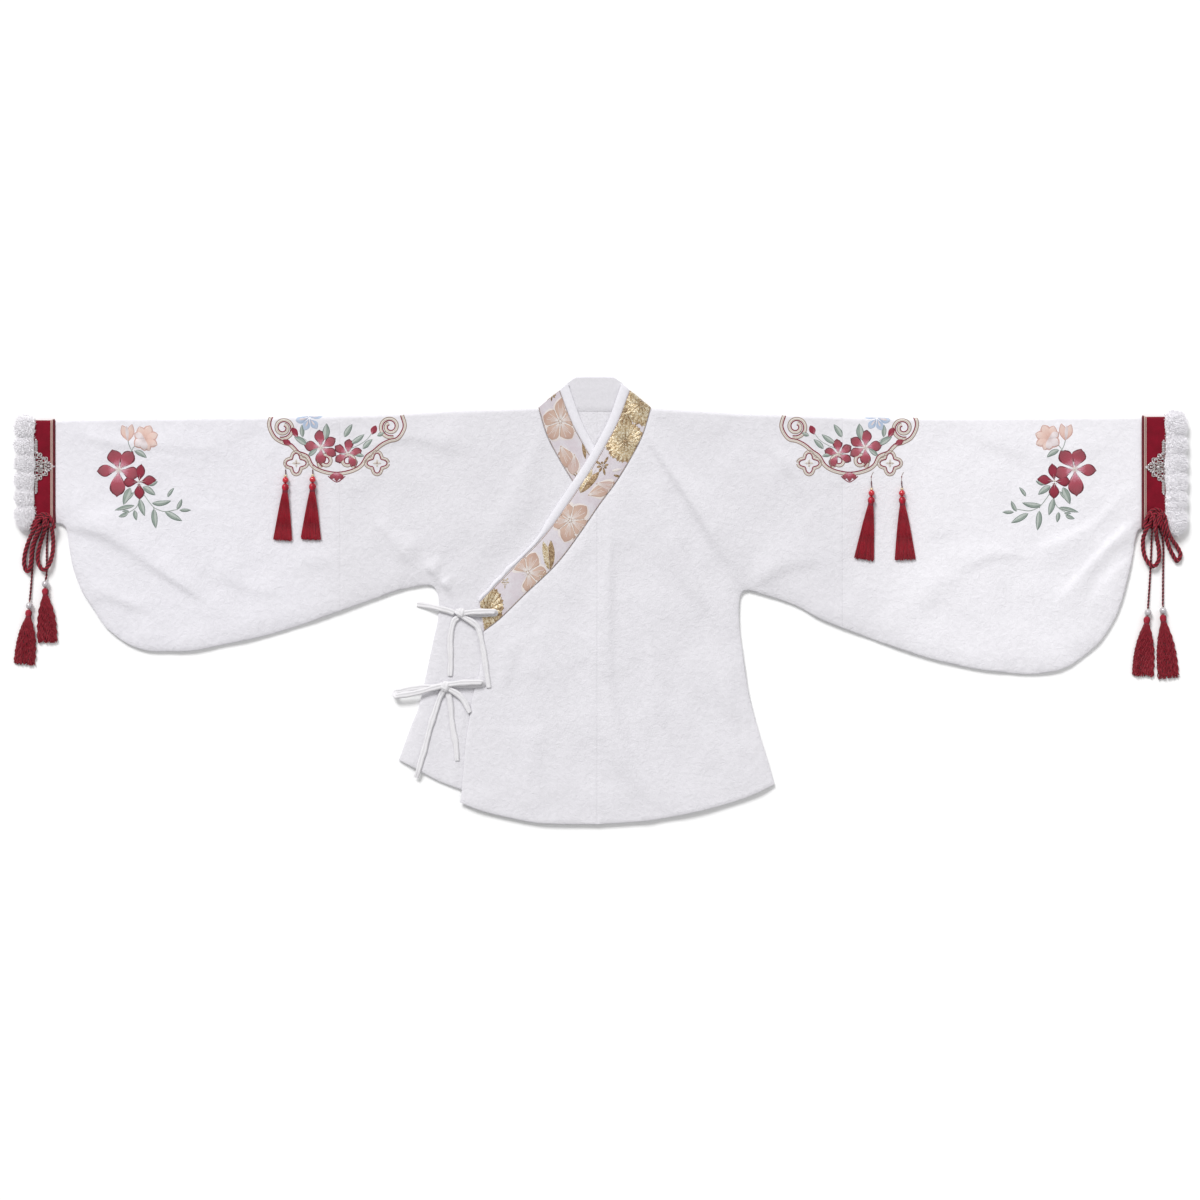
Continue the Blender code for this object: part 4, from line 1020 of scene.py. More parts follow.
# The dark core red stands for the shade between a tassel's strands and between a knot's cords: painted
# shade.
core_shade_red = strands_material("core_shade_crimson", (66, 2, 14), 0.3, 0.7, 0.0)
dark_red = strands_material("roll_crimson", (112, 14, 32), 0.5, 0.7, 0.05)
beige_satin = satin("satin_beige", (214, 186, 174))
white_satin = satin("satin_white", (241, 239, 242), 0.22)
pearl_white = smooth_finish("pearl", (206, 200, 204), 0.16, 0.15, 0.8)
cap_gold = smooth_finish("cap_gold", (196, 160, 110), 0.3, 0.9, grain=0.1)
bead_red = smooth_finish("bead_red", (206, 24, 44), 0.1, 0.0, 0.8)
champagne = smooth_finish("bead_champagne", (232, 212, 176), 0.2, 0.3, 0.6)
lace_thread = strands_material("lace_silver", (216, 208, 206), 6.0, 0.3, 0.1)
thread_dark = rope_material("thread_crimson", (110, 12, 34))


# Stage, light and camera

def make_stage():
    """A plain pale floor, soft light from the upper left, and the photograph's camera."""
    scene = bpy.context.scene
    scene.view_settings.view_transform = "Standard"
    world = bpy.data.worlds.new("studio")
    world.use_nodes = True
    background = world.node_tree.nodes["Background"].inputs
    background["Color"].default_value = (1.0, 1.0, 1.0, 1.0)
    background["Strength"].default_value = SKY_LIGHT
    scene.world = world
    floor = bpy.data.meshes.new("floor")
    floor.from_pydata([(x * FLOOR_HALF, y * FLOOR_HALF, FLOOR_Z) for x, y in (
        (-1, -1), (1, -1), (1, 1), (-1, 1))], [], [(0, 1, 2, 3)])
    made = Maker("floor_white", (0.95, 0.95, 0.95, 1.0), 0.9)
    made.bump(made.noise(60.0), 0.05)
    floor.materials.append(made.material)
    floor_object = bpy.data.objects.new("floor", floor)
    scene.collection.objects.link(floor_object)
    for name, energy, spread, direction in SUNS:
        light = bpy.data.lights.new(name, "SUN")
        light.energy = energy
        light.angle = math.radians(spread)
        light_object = bpy.data.objects.new(name, light)
        light_object.rotation_euler = Vector(direction).to_track_quat("-Z", "Y").to_euler()
        light_object.location = tuple(-2.0 * d for d in direction)
        scene.collection.objects.link(light_object)
    camera = bpy.data.cameras.new("camera")
    camera.sensor_width = SENSOR
    camera.lens = SENSOR * CAMERA_PLACE[2] / (PICTURE_PIXELS * PIXEL)
    camera.clip_end = 20.0
    camera_object = bpy.data.objects.new("camera", camera)
    camera_object.location = tuple(p * MM for p in CAMERA_PLACE)
    scene.collection.objects.link(camera_object)
    scene.camera = camera_object


# Cuff cords, knots, pearls and tassels

def make_tassel(name, top_x, top_y, floor_z, length, end_width, lean):
    """A wound head, and a skirt of single strands round a core."""
    crinkled = name.startswith("cuff")
    turn = math.radians(lean)
    along = np.array((math.sin(turn), -math.cos(turn), 0.0))
    across = np.array((math.cos(turn), math.sin(turn), 0.0))
    up = np.array((0.0, 0.0, 1.0))
    top = np.array((top_x, top_y, floor_z + TASSEL_MIDDLE))

    head = Shape()
    turns = circle(TASSEL_AROUND)
    profile = catmull(TASSEL_HEAD, 0.8)
    ridged = 1 + 0.045 * np.cos(14 * turns)
    ring = across[None] * np.cos(turns)[:, None] + up[None] * np.sin(turns)[:, None] * 0.96
    points = [top + along * distance + ring * (radius * ridged)[:, None]
              for distance, radius in profile]
    faces = [face[::-1] for face in tube_faces(len(profile), TASSEL_AROUND)]
    head.add(np.vstack(points), faces, 0, [(i * 0.8, t) for i in range(len(profile)) for t in turns])
    for distance in (11.0, 12.0, 13.0):
        head.tube([top + along * distance + (across * math.cos(t) + up * math.sin(t)) * 3.9
                   for t in np.linspace(0, 2 * math.pi, 25)], 0.62, 6, 1)
    made_head = head.object(
        f"{name}_head", [rope_red if crinkled else silk_red, thread_dark], [name])

    def place(share, side, height):
        """Points in the skirt, by the share of its length and of its half width and half height."""
        spread = 1 - (1 - np.clip(share, 0, 1)) ** 2.4 if crinkled else share ** 0.85
        half_width = 3.6 + (end_width / 2 - 3.6) * spread
        half_height = 4.3 - 2.3 * share ** 0.8
        sag = -(TASSEL_MIDDLE - 2.5) * smooth_step(share * 1.25)
        distance = TASSEL_NECK + (length - TASSEL_NECK) * share
        return top + along * distance[:, None] + across * (side * half_width)[:, None] \
            + up * (height * half_height + sag)[:, None]

    skirt = Shape()
    # The core inside the skirt is in the dark core red: painted shade between the strands.
    shares = np.linspace(0, 0.93, CORE_ROWS)
    turns = circle(CORE_AROUND)
    squash = 0.86 + 0.05 * np.sin(12 * turns)
    core = [place(np.full(CORE_AROUND, share), np.cos(turns) * squash, np.sin(turns) * squash * 0.8)
            for share in shares]
    faces = grid_faces(CORE_ROWS, CORE_AROUND, tube=True)
    faces.append(tuple(range((CORE_ROWS - 1) * CORE_AROUND, CORE_ROWS * CORE_AROUND)))
    skirt.add(np.vstack(core), faces, 1, [(s * length, t) for s in shares for t in turns])
    count, thick, steps, sides, unevenness = CRINKLED_STRANDS if crinkled else STRAIGHT_STRANDS
    for k in range(count):
        spot = math.sqrt((k + 0.5) / count)
        if spot < 0.55:
            continue
        turn = k * GOLDEN_TURN
        share = np.linspace(0, min(1.02, 0.985 + seeded.normal(0, unevenness)), steps)
        wander = seeded.normal(0, 0.05, 2)
        bend = spot * math.cos(turn) + wander[0] * share ** 2 + 0.02 * np.sin(4 * share + turn)
        height = np.full(steps, spot * math.sin(turn) * 0.94) + wander[1] * share
        path = place(share, bend, height)
        if crinkled:
            for way, reach, wave, shift in ((across, 1.0, 2.3, 0.0), (up, 0.8, 2.6, math.pi / 2)):
                crinkle = np.sin(share * (length / wave) + seeded.uniform(0, 6.28) + shift)
                path = path + way * (reach * crinkle * np.minimum(1, 4 * share))[:, None]
        path[:, 2] = np.maximum(path[:, 2], floor_z + thick + 0.05)
        skirt.tube(path, thick, sides, start_cap=False)
    skirt.object(f"{name}_skirt", [yarn_red if crinkled else silk_red, core_shade_red], [name])
    return made_head


def make_pearl(name):
    """A round pearl with a small cap at each end of its thread."""
    low, high = (np.array(corner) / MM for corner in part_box(name))
    centre = (low + high) / 2
    radius = float(np.min(high - low)) / 2 * 1.02
    shape = Shape()
    ball(shape, centre, (radius, radius, radius), 28, 16)
    for side in (-1, 1):
        cap = centre + np.array((0.0, side * radius * 0.93, 0.0))
        ball(shape, cap, (1.9, 0.7, 1.9), 14, 6, 1, axis="y")
    return shape.object(name + "_round", [pearl_white, cap_gold], [name])


def make_cuff_cords():
    """The bow loops and the tails, each a twisted rope, with what hangs on the tails."""
    heads = {row[0]: make_tassel(*row) for row in TASSELS}
    for name, thick, route in CORD_ROUTES:
        shape = Shape()
        rope(shape, catmull(route, CORD_STEP), thick, strands=3 if thick == LOOP else 2)
        piece = shape.object(name + "_rope", [rope_red], [name])
        on_it = []
        if thick == TAIL:
            on_it = [make_pearl(name.replace("tail", "pearl")), heads[name.replace("tail", "tassel")]]
    for name, centre, half, routes in CUFF_KNOTS:
        shape = Shape()
        # The knot's core, in the dark core red: painted shade between the cords wound over it.
        ball(shape, centre, half, number=1)
        for k, route in enumerate(routes):
            rope(shape, catmull(route, CORD_STEP), KNOT_CORD, turn=1.1 * k)
        shape.object(name + "_wound", [rope_red, core_shade_red], [name])


# Cloth

def outline_of(*chains):
    """One outline from chains of points, without the points that two chains share."""
    points = np.vstack([np.asarray(chain, float)[:, :2] for chain in chains])
    gaps = np.linalg.norm(points - np.roll(points, 1, axis=0), axis=1)
    return points[gaps > 0.05]


def fill(outline, spacing, fine_edge=True):
    """Triangles of the outline, with a row of points close to its edge and an even grid inside."""
    outline = np.asarray(outline, float)
    signed = 0.5 * np.sum(
        outline[:, 0] * np.roll(outline[:, 1], -1) - np.roll(outline[:, 0], -1) * outline[:, 1])
    low, high = outline.min(axis=0), outline.max(axis=0)
    rows = np.arange(low[1], high[1], spacing * math.sqrt(3) / 2)
    grid = np.array([(x + spacing / 2 * (k % 2), y) for k, y in enumerate(rows)
                     for x in np.arange(low[0], high[0], spacing)])
    closed = np.vstack([outline, outline[:1]])
    grid = grid[inside(grid, outline)]
    margin = 0.5 * spacing + (EDGE_ROUND if fine_edge else 0.0)
    grid = grid[away(grid, closed) > margin]
    extra = grid
    if fine_edge:
        ahead = unit(np.roll(outline, -1, axis=0) - np.roll(outline, 1, axis=0))
        inward = np.stack([-ahead[:, 1], ahead[:, 0]], axis=1) * math.copysign(1.0, signed)
        row = outline + inward * EDGE_ROUND
        row = row[inside(row, outline)]
        row = row[away(row, closed) > 0.8 * EDGE_ROUND]
        extra = np.vstack([row, grid])
    coords = [Vector(p) for p in np.vstack([outline, extra])]
    edges = [(i, (i + 1) % len(outline)) for i in range(len(outline))]
    points, _, faces, origins, _, _ = delaunay_2d_cdt(coords, edges, [], 1, 1e-6)
    place = {old: new for new, olds in enumerate(origins) for old in olds}
    return np.array([(p.x, p.y) for p in points]), [tuple(f) for f in faces], place


def edge_drop(points, edges):
    """How far the cloth's surface falls at its free edges, and a little at its pressed seams."""
    drop = EDGE_DROP * (1 - np.clip(away(points, edges) / EDGE_ROUND, 0, 1)) ** 0.8
    for seam in (LEFT_ARM_SEAM, RIGHT_ARM_SEAM, FRONT_SEAM):
        drop *= np.where(away(points, seam) < EDGE_ROUND + 0.5, PRESSED, 1.0)
    return drop


def folded_cloth(name, shoulder, front_rest, back_rest, height, node):
    """Front and back in one piece, joined in a half-round fold along the shoulder."""
    line = catmull(shoulder, OUTLINE_STEP)
    line[:, 1] -= FLAT_TOP / 2
    front_outline = outline_of(line, front_rest)
    back_outline = outline_of(line, back_rest)
    front, faces, front_at = fill(front_outline, FRONT_STEP)
    back, back_faces, back_at = fill(back_outline, BACK_STEP, False)
    tops = height(front)
    drop = edge_drop(front, np.vstack([line[-1:], front_rest, line[:1]]))
    drop = np.where(away(front, line) < 0.01, 0.0, drop)
    outer = np.column_stack([front, tops - drop])
    inner = np.column_stack([front, tops - WALL + drop])
    start = len(outer)
    outer_points = [outer, np.column_stack([back, np.zeros(len(back))])]
    inner_points = [inner, np.column_stack([back, np.full(len(back), WALL)])]
    faces = faces + [tuple(i + start for i in reversed(face)) for face in back_faces]
    count = start + len(back)
    chains = []
    fold_outer = []
    fold_inner = []
    for k in range(len(line)):
        low, high = inner[front_at[k]][2], outer[front_at[k]][2]
        x, y = outer[front_at[k]][:2]
        chain = [front_at[k]]
        for step in range(1, FOLD_STEPS):
            angle = math.pi * (0.5 - step / FOLD_STEPS)
            out, hollow = high / 2, (low - WALL) / 2
            chain.append(count)
            count += 1
            fold_outer.append((x, y + out * math.cos(angle), out + out * math.sin(angle)))
            fold_inner.append((
                x, y + hollow * math.cos(angle), WALL + hollow + hollow * math.sin(angle)))
        chain.append(start + back_at[k])
        chains.append(chain)
    if line[-1][0] > line[0][0]:
        chains = chains[::-1]
    for one, two in zip(chains, chains[1:]):
        faces += list(zip(one, one[1:], two[1:], two))
    walled(name, np.vstack([*outer_points, fold_outer]), np.vstack([*inner_points, fold_inner]),
           faces, white_pile, node)


def flat_cloth(name, outline, height, node):
    """A panel cut flat, lying on what is under it."""
    points, faces, _ = fill(outline, FRONT_STEP)
    tops = height(points)
    drop = edge_drop(points, np.vstack([outline, outline[:1]]))
    walled(name, np.column_stack([points, tops - drop]), np.column_stack([points, tops - WALL + drop]),
           faces, white_pile, node)


DENSE_RUN = catmull([(*row[:4], *guard_edge(row), row[5]) for row in COLLAR_RUN], COLLAR_STEP)
DENSE_SEAM = offset_line(DENSE_RUN[:, :2], CLEARANCE)


def straight(start, end):
    """Points at an even spacing from the start to the end."""
    return resample((start, end), OUTLINE_STEP)


def body_half(side_name, sign, seam, side, hem, hem_y, shoulder, arm, neck_x, height):
    """A front and back in one, from the armhole round the side, the hem and the collar's seam."""
    centre = CENTRE_X + sign * SEAM_GAP / 2
    neck_top = float(np.interp(sign * centre, sign * seam[:, 0], seam[:, 1]))
    seam = seam[sign * (seam[:, 0] - CENTRE_X) > SEAM_GAP][:-1]
    hem = catmull(((CENTRE_X, hem_y), *hem), OUTLINE_STEP)[::-1]
    low_end = (centre, hem_y)
    shared = [straight(*arm)[1:], catmull(side[::-1], OUTLINE_STEP)[1:],
              hem[sign * (hem[:, 0] - centre) > 1.0], [low_end]]
    folded_cloth(
        f"body_{side_name}_cloth", shoulder,
        np.vstack([*shared, straight(low_end, (centre, neck_top))[1:], seam]),
        np.vstack([*shared, [(centre, BACK_NECK_Y - CLEARANCE), (neck_x, BACK_NECK_Y - 1.0)]]),
        height, f"body_{side_name}")


def make_cloth():
    """The two halves of the body, the two overlap panels and the sleeves."""
    seam = DENSE_SEAM
    flipped = mirrored(seam)
    body_half("left", 1, seam, LEFT_SIDE, LEFT_HEM, LEFT_HEM_Y, LEFT_SHOULDER,
              ((369.95, 276.1), (369.95, -41.7)), 56, left_height)
    body_half("right", -1, flipped, RIGHT_SIDE, RIGHT_HEM, RIGHT_HEM_Y, RIGHT_SHOULDER,
              ((-399.95, 277.7), (-399.95, -16.0)), -75, right_height)

    centre = CENTRE_X - SEAM_GAP / 2
    top = float(np.interp(centre, seam[:, 0], seam[:, 1]))
    hem = catmull((*OVERLAP_HEM, (centre, LEFT_HEM_Y)), OUTLINE_STEP)
    outline = outline_of(
        seam[seam[:, 0] < centre - 1.0], straight((centre, top), (centre, LEFT_HEM_Y)),
        hem[::-1][1:], catmull(OVERLAP_EDGE, OUTLINE_STEP)[::-1][1:])
    flat_cloth("overlap_panel_cloth", outline, left_height, "overlap_panel")

    centre = CENTRE_X + SEAM_GAP
    top = float(np.interp(-centre, -flipped[:, 0], flipped[:, 1]))
    outline = outline_of(
        flipped[flipped[:, 0] > centre + 1.0], [(centre, top), (centre, INNER_HEM_Y)],
        INNER_PANEL_EDGE[::-1])
    flat_cloth(
        "inner_overlap_cloth", outline, lambda p: np.full(len(p), INNER_LIFT + WALL),
        "inner_overlap_panel")

    for name, lower, top_line, height in (
            ("sleeve_left", LEFT_SLEEVE_LOWER, LEFT_SLEEVE_TOP, left_sleeve_height),
            ("sleeve_right", RIGHT_SLEEVE_LOWER, RIGHT_SLEEVE_TOP, right_sleeve_height)):
        begin, end = ((x, y - FLAT_TOP / 2) for x, y in (top_line[0], top_line[-1]))
        rest = np.vstack([
            straight(end, lower[-1])[1:], catmull(lower, OUTLINE_STEP)[::-1][1:],
            straight(lower[0], begin)[1:-1]])
        folded_cloth(name + "_cloth", top_line, rest, rest, height, name)


# Collar

def flipped_rows(dense):
    """Collar rows on the other side of its middle."""
    return np.column_stack([
        2 * COLLAR_AXIS_X - dense[:, k] if k in (0, 2, 4) else dense[:, k] for k in range(6)])


def row_points(row):
    """A collar row's seam, neck edge and guard edge, and which way its fold bulges."""
    points = [np.array(row[k:k + 2]) for k in (0, 2, 4)]
    along = points[1] - points[0]
    outward = unit(np.array((along[1], -along[0])))
    return points, outward * math.copysign(1.0, outward[1])


def collar_rows():
    """Seam, neck edge and guard edge on the outer surface, and its normal, all round the collar."""
    rows = []

    def lay(dense, heights, up):
        for row, height in zip(dense, heights):
            rows.append(([np.array((*row[k:k + 2], height)) for k in (0, 2, 4)], (0.0, 0.0, up)))

    def fold(row, lift, first, last):
        points, outward = row_points(row)
        out = (lift + WALL) / 2
        for angle in np.linspace(first, last, FOLD_STEPS + 2)[1:-1]:
            turn = math.radians(angle)
            moved = [np.array((*(p - outward * out * (1 - math.cos(turn))), out + out * math.sin(turn)))
                     for p in points]
            rows.append((moved, (*(outward * math.cos(turn)), math.sin(turn))))

    def fold_end(row, lift):
        """A row where the fold ends, on the back."""
        points, outward = row_points(row)
        return np.concatenate([p - outward * (lift + WALL) / 2 for p in points])

    run = DENSE_RUN
    inner_run = flipped_rows(run)
    inner_lift = run[-1][6]
    lay(run, np.full(len(run), FLAT_TOP), 1.0)
    fold(run[-1], OUTER_LIFT, 90, -90)
    outer_front_count = len(rows)
    back = np.array([(*row[:4], *guard_edge(row)) for row in COLLAR_BACK])
    whole = catmull(np.vstack([
        fold_end(run[-1], OUTER_LIFT), back, flipped_rows(back)[::-1][1:],
        fold_end(inner_run[-1], inner_lift)]), COLLAR_STEP)
    lay(whole, np.zeros(len(whole)), -1.0)
    fold(inner_run[-1], inner_lift, -90, 90)
    lay(inner_run[::-1], run[::-1, 6] + WALL, 1.0)
    return rows, outer_front_count


COLLAR_ROWS, FRONT_ROWS = collar_rows()
EDGE_FALL = (-0.8, -0.25, 0.0)
FACING_COLUMNS = 30


def collar_strip(name, start, end, material, node, crown, loose=0.0):
    """A strip of the collar between two of a row's points, its edges rounded and its low end loose."""
    outer = []
    inner = []
    gap = SEAM_GAP if start else 0.0
    heights = [*EDGE_FALL, crown * 0.75, crown, crown * 0.75, *EDGE_FALL[::-1]]
    for row, (points, normal) in enumerate(COLLAR_ROWS):
        step = points[end] - points[start]
        width = np.linalg.norm(step)
        step = step / width
        width += loose * smooth_step((38 - row) / 12) * (0.8 + 0.25 * math.sin(0.55 * row))
        normal = np.array(normal)
        near = min(1.4, width * 0.2)
        places = [gap, gap + near * 0.35, gap + near, gap + (width - gap) * 0.25, (width + gap) / 2,
                  width - (width - gap) * 0.25, width - near, width - near * 0.35, width]
        for place, height in zip(places, heights):
            point = points[start] + step * place
            proud = height if height < 0 or normal[2] > -0.5 else 0.0
            outer.append(point + normal * proud)
            inner.append(point - normal * (WALL + min(height, 0.0)))
    faces = grid_faces(len(COLLAR_ROWS), len(heights))
    walled(name, np.array(outer), np.array(inner), faces, material, node)


def make_collar():
    """The brocade band, the guard strip on its neck edge, and the facing inside the back neck."""
    collar_strip("collar_brocade", 0, 1, brocade, "collar_band", 0.6)
    collar_strip("collar_guard_cloth", 1, 2, guard_pile, "collar_guard", 0.9, 4.0)
    ys, lefts, rights = np.array(FACING, float).T
    rows = []
    for y in np.linspace(ys[0], ys[-1], 14):
        ends = np.interp(y, ys, lefts), np.interp(y, ys, rights)
        rows.append([(x, y) for x in np.linspace(*ends, FACING_COLUMNS)])
    flat = np.array(rows).reshape(-1, 2)
    ripple = 0.12 * np.sin(flat[:, 0] / 9.0) + 0.1 * np.sin(flat[:, 1] / 5.0)
    thin = smooth_step((flat[:, 1] - ys[0]) / 6.0)
    outer = np.column_stack([flat, FACING_LIFT + 0.15 + (FACING_WALL - 0.15 + ripple) * thin])
    inner = np.column_stack([flat, np.full(len(flat), FACING_LIFT)])
    faces = grid_faces(len(rows), FACING_COLUMNS)
    walled("collar_facing_cloth", outer, inner, faces, facing_pile, "collar_facing")


# Cuffs

def ring_profile(low, high, radius, flats, rounds):
    """Centre y and normal of each point once round a flattened ring, from the front's low end."""
    start, end = low + radius, high - radius
    profile = [(y, 0.0, 1.0) for y in np.linspace(start, end, flats + 1)]
    for step in range(1, rounds):
        angle = math.pi * (0.5 - step / rounds)
        profile.append((end, math.cos(angle), math.sin(angle)))
    profile += [(y, 0.0, -1.0) for y in np.linspace(end, start, flats + 1)]
    for step in range(1, rounds):
        angle = math.pi * (0.5 + step / rounds)
        profile.append((start, math.cos(angle), -math.sin(angle)))
    return profile


def make_cuff_bands():
    """The red bands, each with a rolled edge of piping, and the fur beyond them."""
    radius = FLAT_TOP / 2
    for name, sleeve_x, band_x, fur_x, low, high, piping_x in CUFFS:
        outwards = math.copysign(1.0, band_x)
        first = sleeve_x + outwards * SEAM_GAP
        profile = ring_profile(low, high, radius, 34, 10)
        hollow = radius - WALL
        outer = []
        inner = []
        for k, (y, across, up) in enumerate(profile):
            for share, drop in BAND_SHARES:
                x = first + (band_x - first) * share
                swell_here = 0.3 * math.sin(math.pi * share) * math.sin(0.9 * k + 5 * share) * (up > 0)
                out = radius - drop + swell_here
                outer.append((x, y + out * across, radius + out * up))
                inner.append((x, y + hollow * across, radius + hollow * up))
        faces = grid_faces(len(profile), len(BAND_SHARES), ring=True)
        walled(f"cuff_{name}_velvet", np.array(outer), np.array(inner), faces, velvet,
               f"cuff_{name}_band")
        piping = Shape()
        shown = profile[-4:] + profile[:39]
        for shift, thick, number, lift in PIPING_LINES:
            x = piping_x + outwards * shift
            line = resample([(x, y + (radius + lift) * across, radius + (radius + lift) * up)
                             for y, across, up in shown], 2.5)
            line[:, 2] = np.maximum(line[:, 2], thick)
            piping.tube(line, thick, 8, number)
        piping.object(f"cuff_{name}_cording", [beige_satin, dark_red], [f"cuff_{name}_piping"])
        make_fur(name, band_x + outwards * SEAM_GAP, fur_x, low, high)


def make_fur(name, from_x, to_x, low, high):
    """Soft scallops of under-fur, and tufts that lean outwards all over them."""
    radius = FLAT_TOP / 2
    outwards = math.copysign(1.0, to_x)
    profile = ring_profile(low, high, radius, 60, 10)
    depth = FUR_SCALLOP_DEPTH[name]
    outer = np.zeros((len(profile), FUR_COLUMNS, 3))
    inner = np.zeros((len(profile), FUR_COLUMNS, 3))
    for row, (y, across, up) in enumerate(profile):
        phase = FUR_SCALLOPS * (y - low) / (high - low)
        wave = (0.5 + 0.5 * math.cos(2 * math.pi * phase)) ** 3
        lump = math.sin(3.1 * phase + 1.0) * 0.06 + math.sin(7.3 * phase) * 0.04
        reach = to_x - outwards * 3.2 - (to_x - from_x) * depth * 0.7 * wave
        overlap = FUR_OVERLAP * (0.6 + 0.4 * math.sin(2.2 * phase + 0.7)) * (1 - 0.8 * wave)
        begin = from_x - outwards * overlap
        for k in range(FUR_COLUMNS):
            along = k / (FUR_COLUMNS - 1)
            x = begin + (reach - begin) * along
            rise = math.sin(math.pi * min(1.0, along * 0.97 + 0.03)) ** 0.62
            puff = (FUR_BULGE - 3.0) * rise * (1 - depth * wave + lump)
            out = radius + puff
            outer[row, k] = (x, y + out * across, max(0.1, radius + out * up))
            hollow = radius - WALL
            inside_x = from_x + (reach - from_x) * along
            inner[row, k] = (inside_x, y + hollow * across, radius + hollow * up)
    faces = grid_faces(len(profile), FUR_COLUMNS, ring=True)
    points, walls = closed_wall(outer.reshape(-1, 3), inner.reshape(-1, 3), faces)
    shape = Shape()
    shape.add(points, walls, 0, points[:, :2])

    surface = outer.reshape(-1, 3)
    quads = np.array(faces)
    a, b, c, d = (surface[quads[:, k]] for k in range(4))
    normal = np.cross(c - a, d - b)
    area = np.linalg.norm(normal, axis=1)
    normal /= np.maximum(area, 1e-9)[:, None]
    middle = (a + b + c + d) / 4
    core = np.column_stack([
        np.full(len(middle), (from_x + to_x) / 2), np.clip(middle[:, 1], low + 10, high - 10),
        np.full(len(middle), radius)])
    normal *= np.sign(np.sum(normal * (middle - core), axis=1))[:, None]
    chance = area * (normal[:, 2] > -0.75) * np.clip(0.35 + normal[:, 2], 0.2, 1.0)
    pick = seeded.choice(len(quads), FUR_TUFTS, p=chance / chance.sum())
    u, v = seeded.random((2, FUR_TUFTS, 1))
    base = (a[pick] * (1 - u) + b[pick] * u) * (1 - v) + (d[pick] * (1 - u) + c[pick] * u) * v
    lean = 0.5 * normal[pick] + np.array((0.62 * outwards, 0.0, 0.0))
    lean = unit(lean + seeded.normal(0, 0.42, (FUR_TUFTS, 3)))
    length = FUR_TUFT_LENGTH * seeded.uniform(0.55, 1.15, (FUR_TUFTS, 1))
    thick = FUR_TUFT_RADIUS * seeded.uniform(0.7, 1.3, (FUR_TUFTS, 1))
    side = unit(np.cross(lean, (0.3, 0.5, 0.8)))
    ahead = np.cross(lean, side)
    bend = seeded.normal(0, 0.22, (FUR_TUFTS, 3)) + np.array((0.12 * outwards, 0.0, -0.1))
    tuft = np.zeros((FUR_TUFTS, 7, 3))
    for ring, (along, wide) in enumerate(((-0.1, 1.0), (0.5, 0.72))):
        for k in range(3):
            turn = 2 * math.pi * k / 3
            out = (side * math.cos(turn) + ahead * math.sin(turn)) * thick * wide
            tuft[:, ring * 3 + k] = base + (lean * along + bend * along * abs(along)) * length + out
    tuft[:, 6] = base + (lean + bend) * length
    tuft[:, :, 2] = np.maximum(tuft[:, :, 2], 0.1)
    pattern = [(0, 1, 4, 3), (1, 2, 5, 4), (2, 0, 3, 5), (3, 4, 6), (4, 5, 6), (5, 3, 6)]
    tufts = [tuple(i + 7 * t for i in face) for t in range(FUR_TUFTS) for face in pattern]
    shape.add(tuft.reshape(-1, 3), tufts, 1, tuft.reshape(-1, 3)[:, :2])
    shape.object(f"cuff_{name}_pelt", [fur_under, fur_hair[name]], [f"cuff_{name}_fur"])


# Ties

RIBBON_WIDTH = 8.6
RIBBON_THICK = 2.1
RIBBON_AROUND = 14
RIBBON_STEP = 2.0
TIE_KNOTS = (  # name, centre, half sizes
    ("tie_upper_knot", -215.7, -19.2, 10.0, 9.0, 7.0, 3.8),
    ("tie_lower_knot", -239.5, -132.0, 11.2, 9.0, 8.0, 3.8),
)


def loop_path(ax, ay, az, bx, by, bz, height, spread):
    """Out along the lower run, round the end, and back above and beside it."""
    start = np.array((ax, ay, az), float)
    end = np.array((bx, by, bz), float)
    flat = np.array((bx - ax, by - ay, 0.0))
    flat /= np.linalg.norm(flat)
    radius = height / 2
    turn_at = end - flat * radius
    rise = np.array((0.0, 0.0, radius))
    beside = np.array((-flat[1], flat[0], 0.0)) * spread
    path = [start, (start + turn_at) / 2 - beside, turn_at - beside]
    for angle in (-60, -25, 25, 60):
        turn = math.radians(angle)
        path.append(turn_at + flat * radius * math.cos(turn) + rise * (1 + math.sin(turn))
                    + beside * math.sin(turn))
    high = turn_at + 2 * rise + beside
    top = start + np.array((0.0, 0.0, 3.2))
    path += [high, high + (top - high) * 0.5 + rise * 0.25 + beside * 0.5, top]
    return [tuple(p) for p in path]


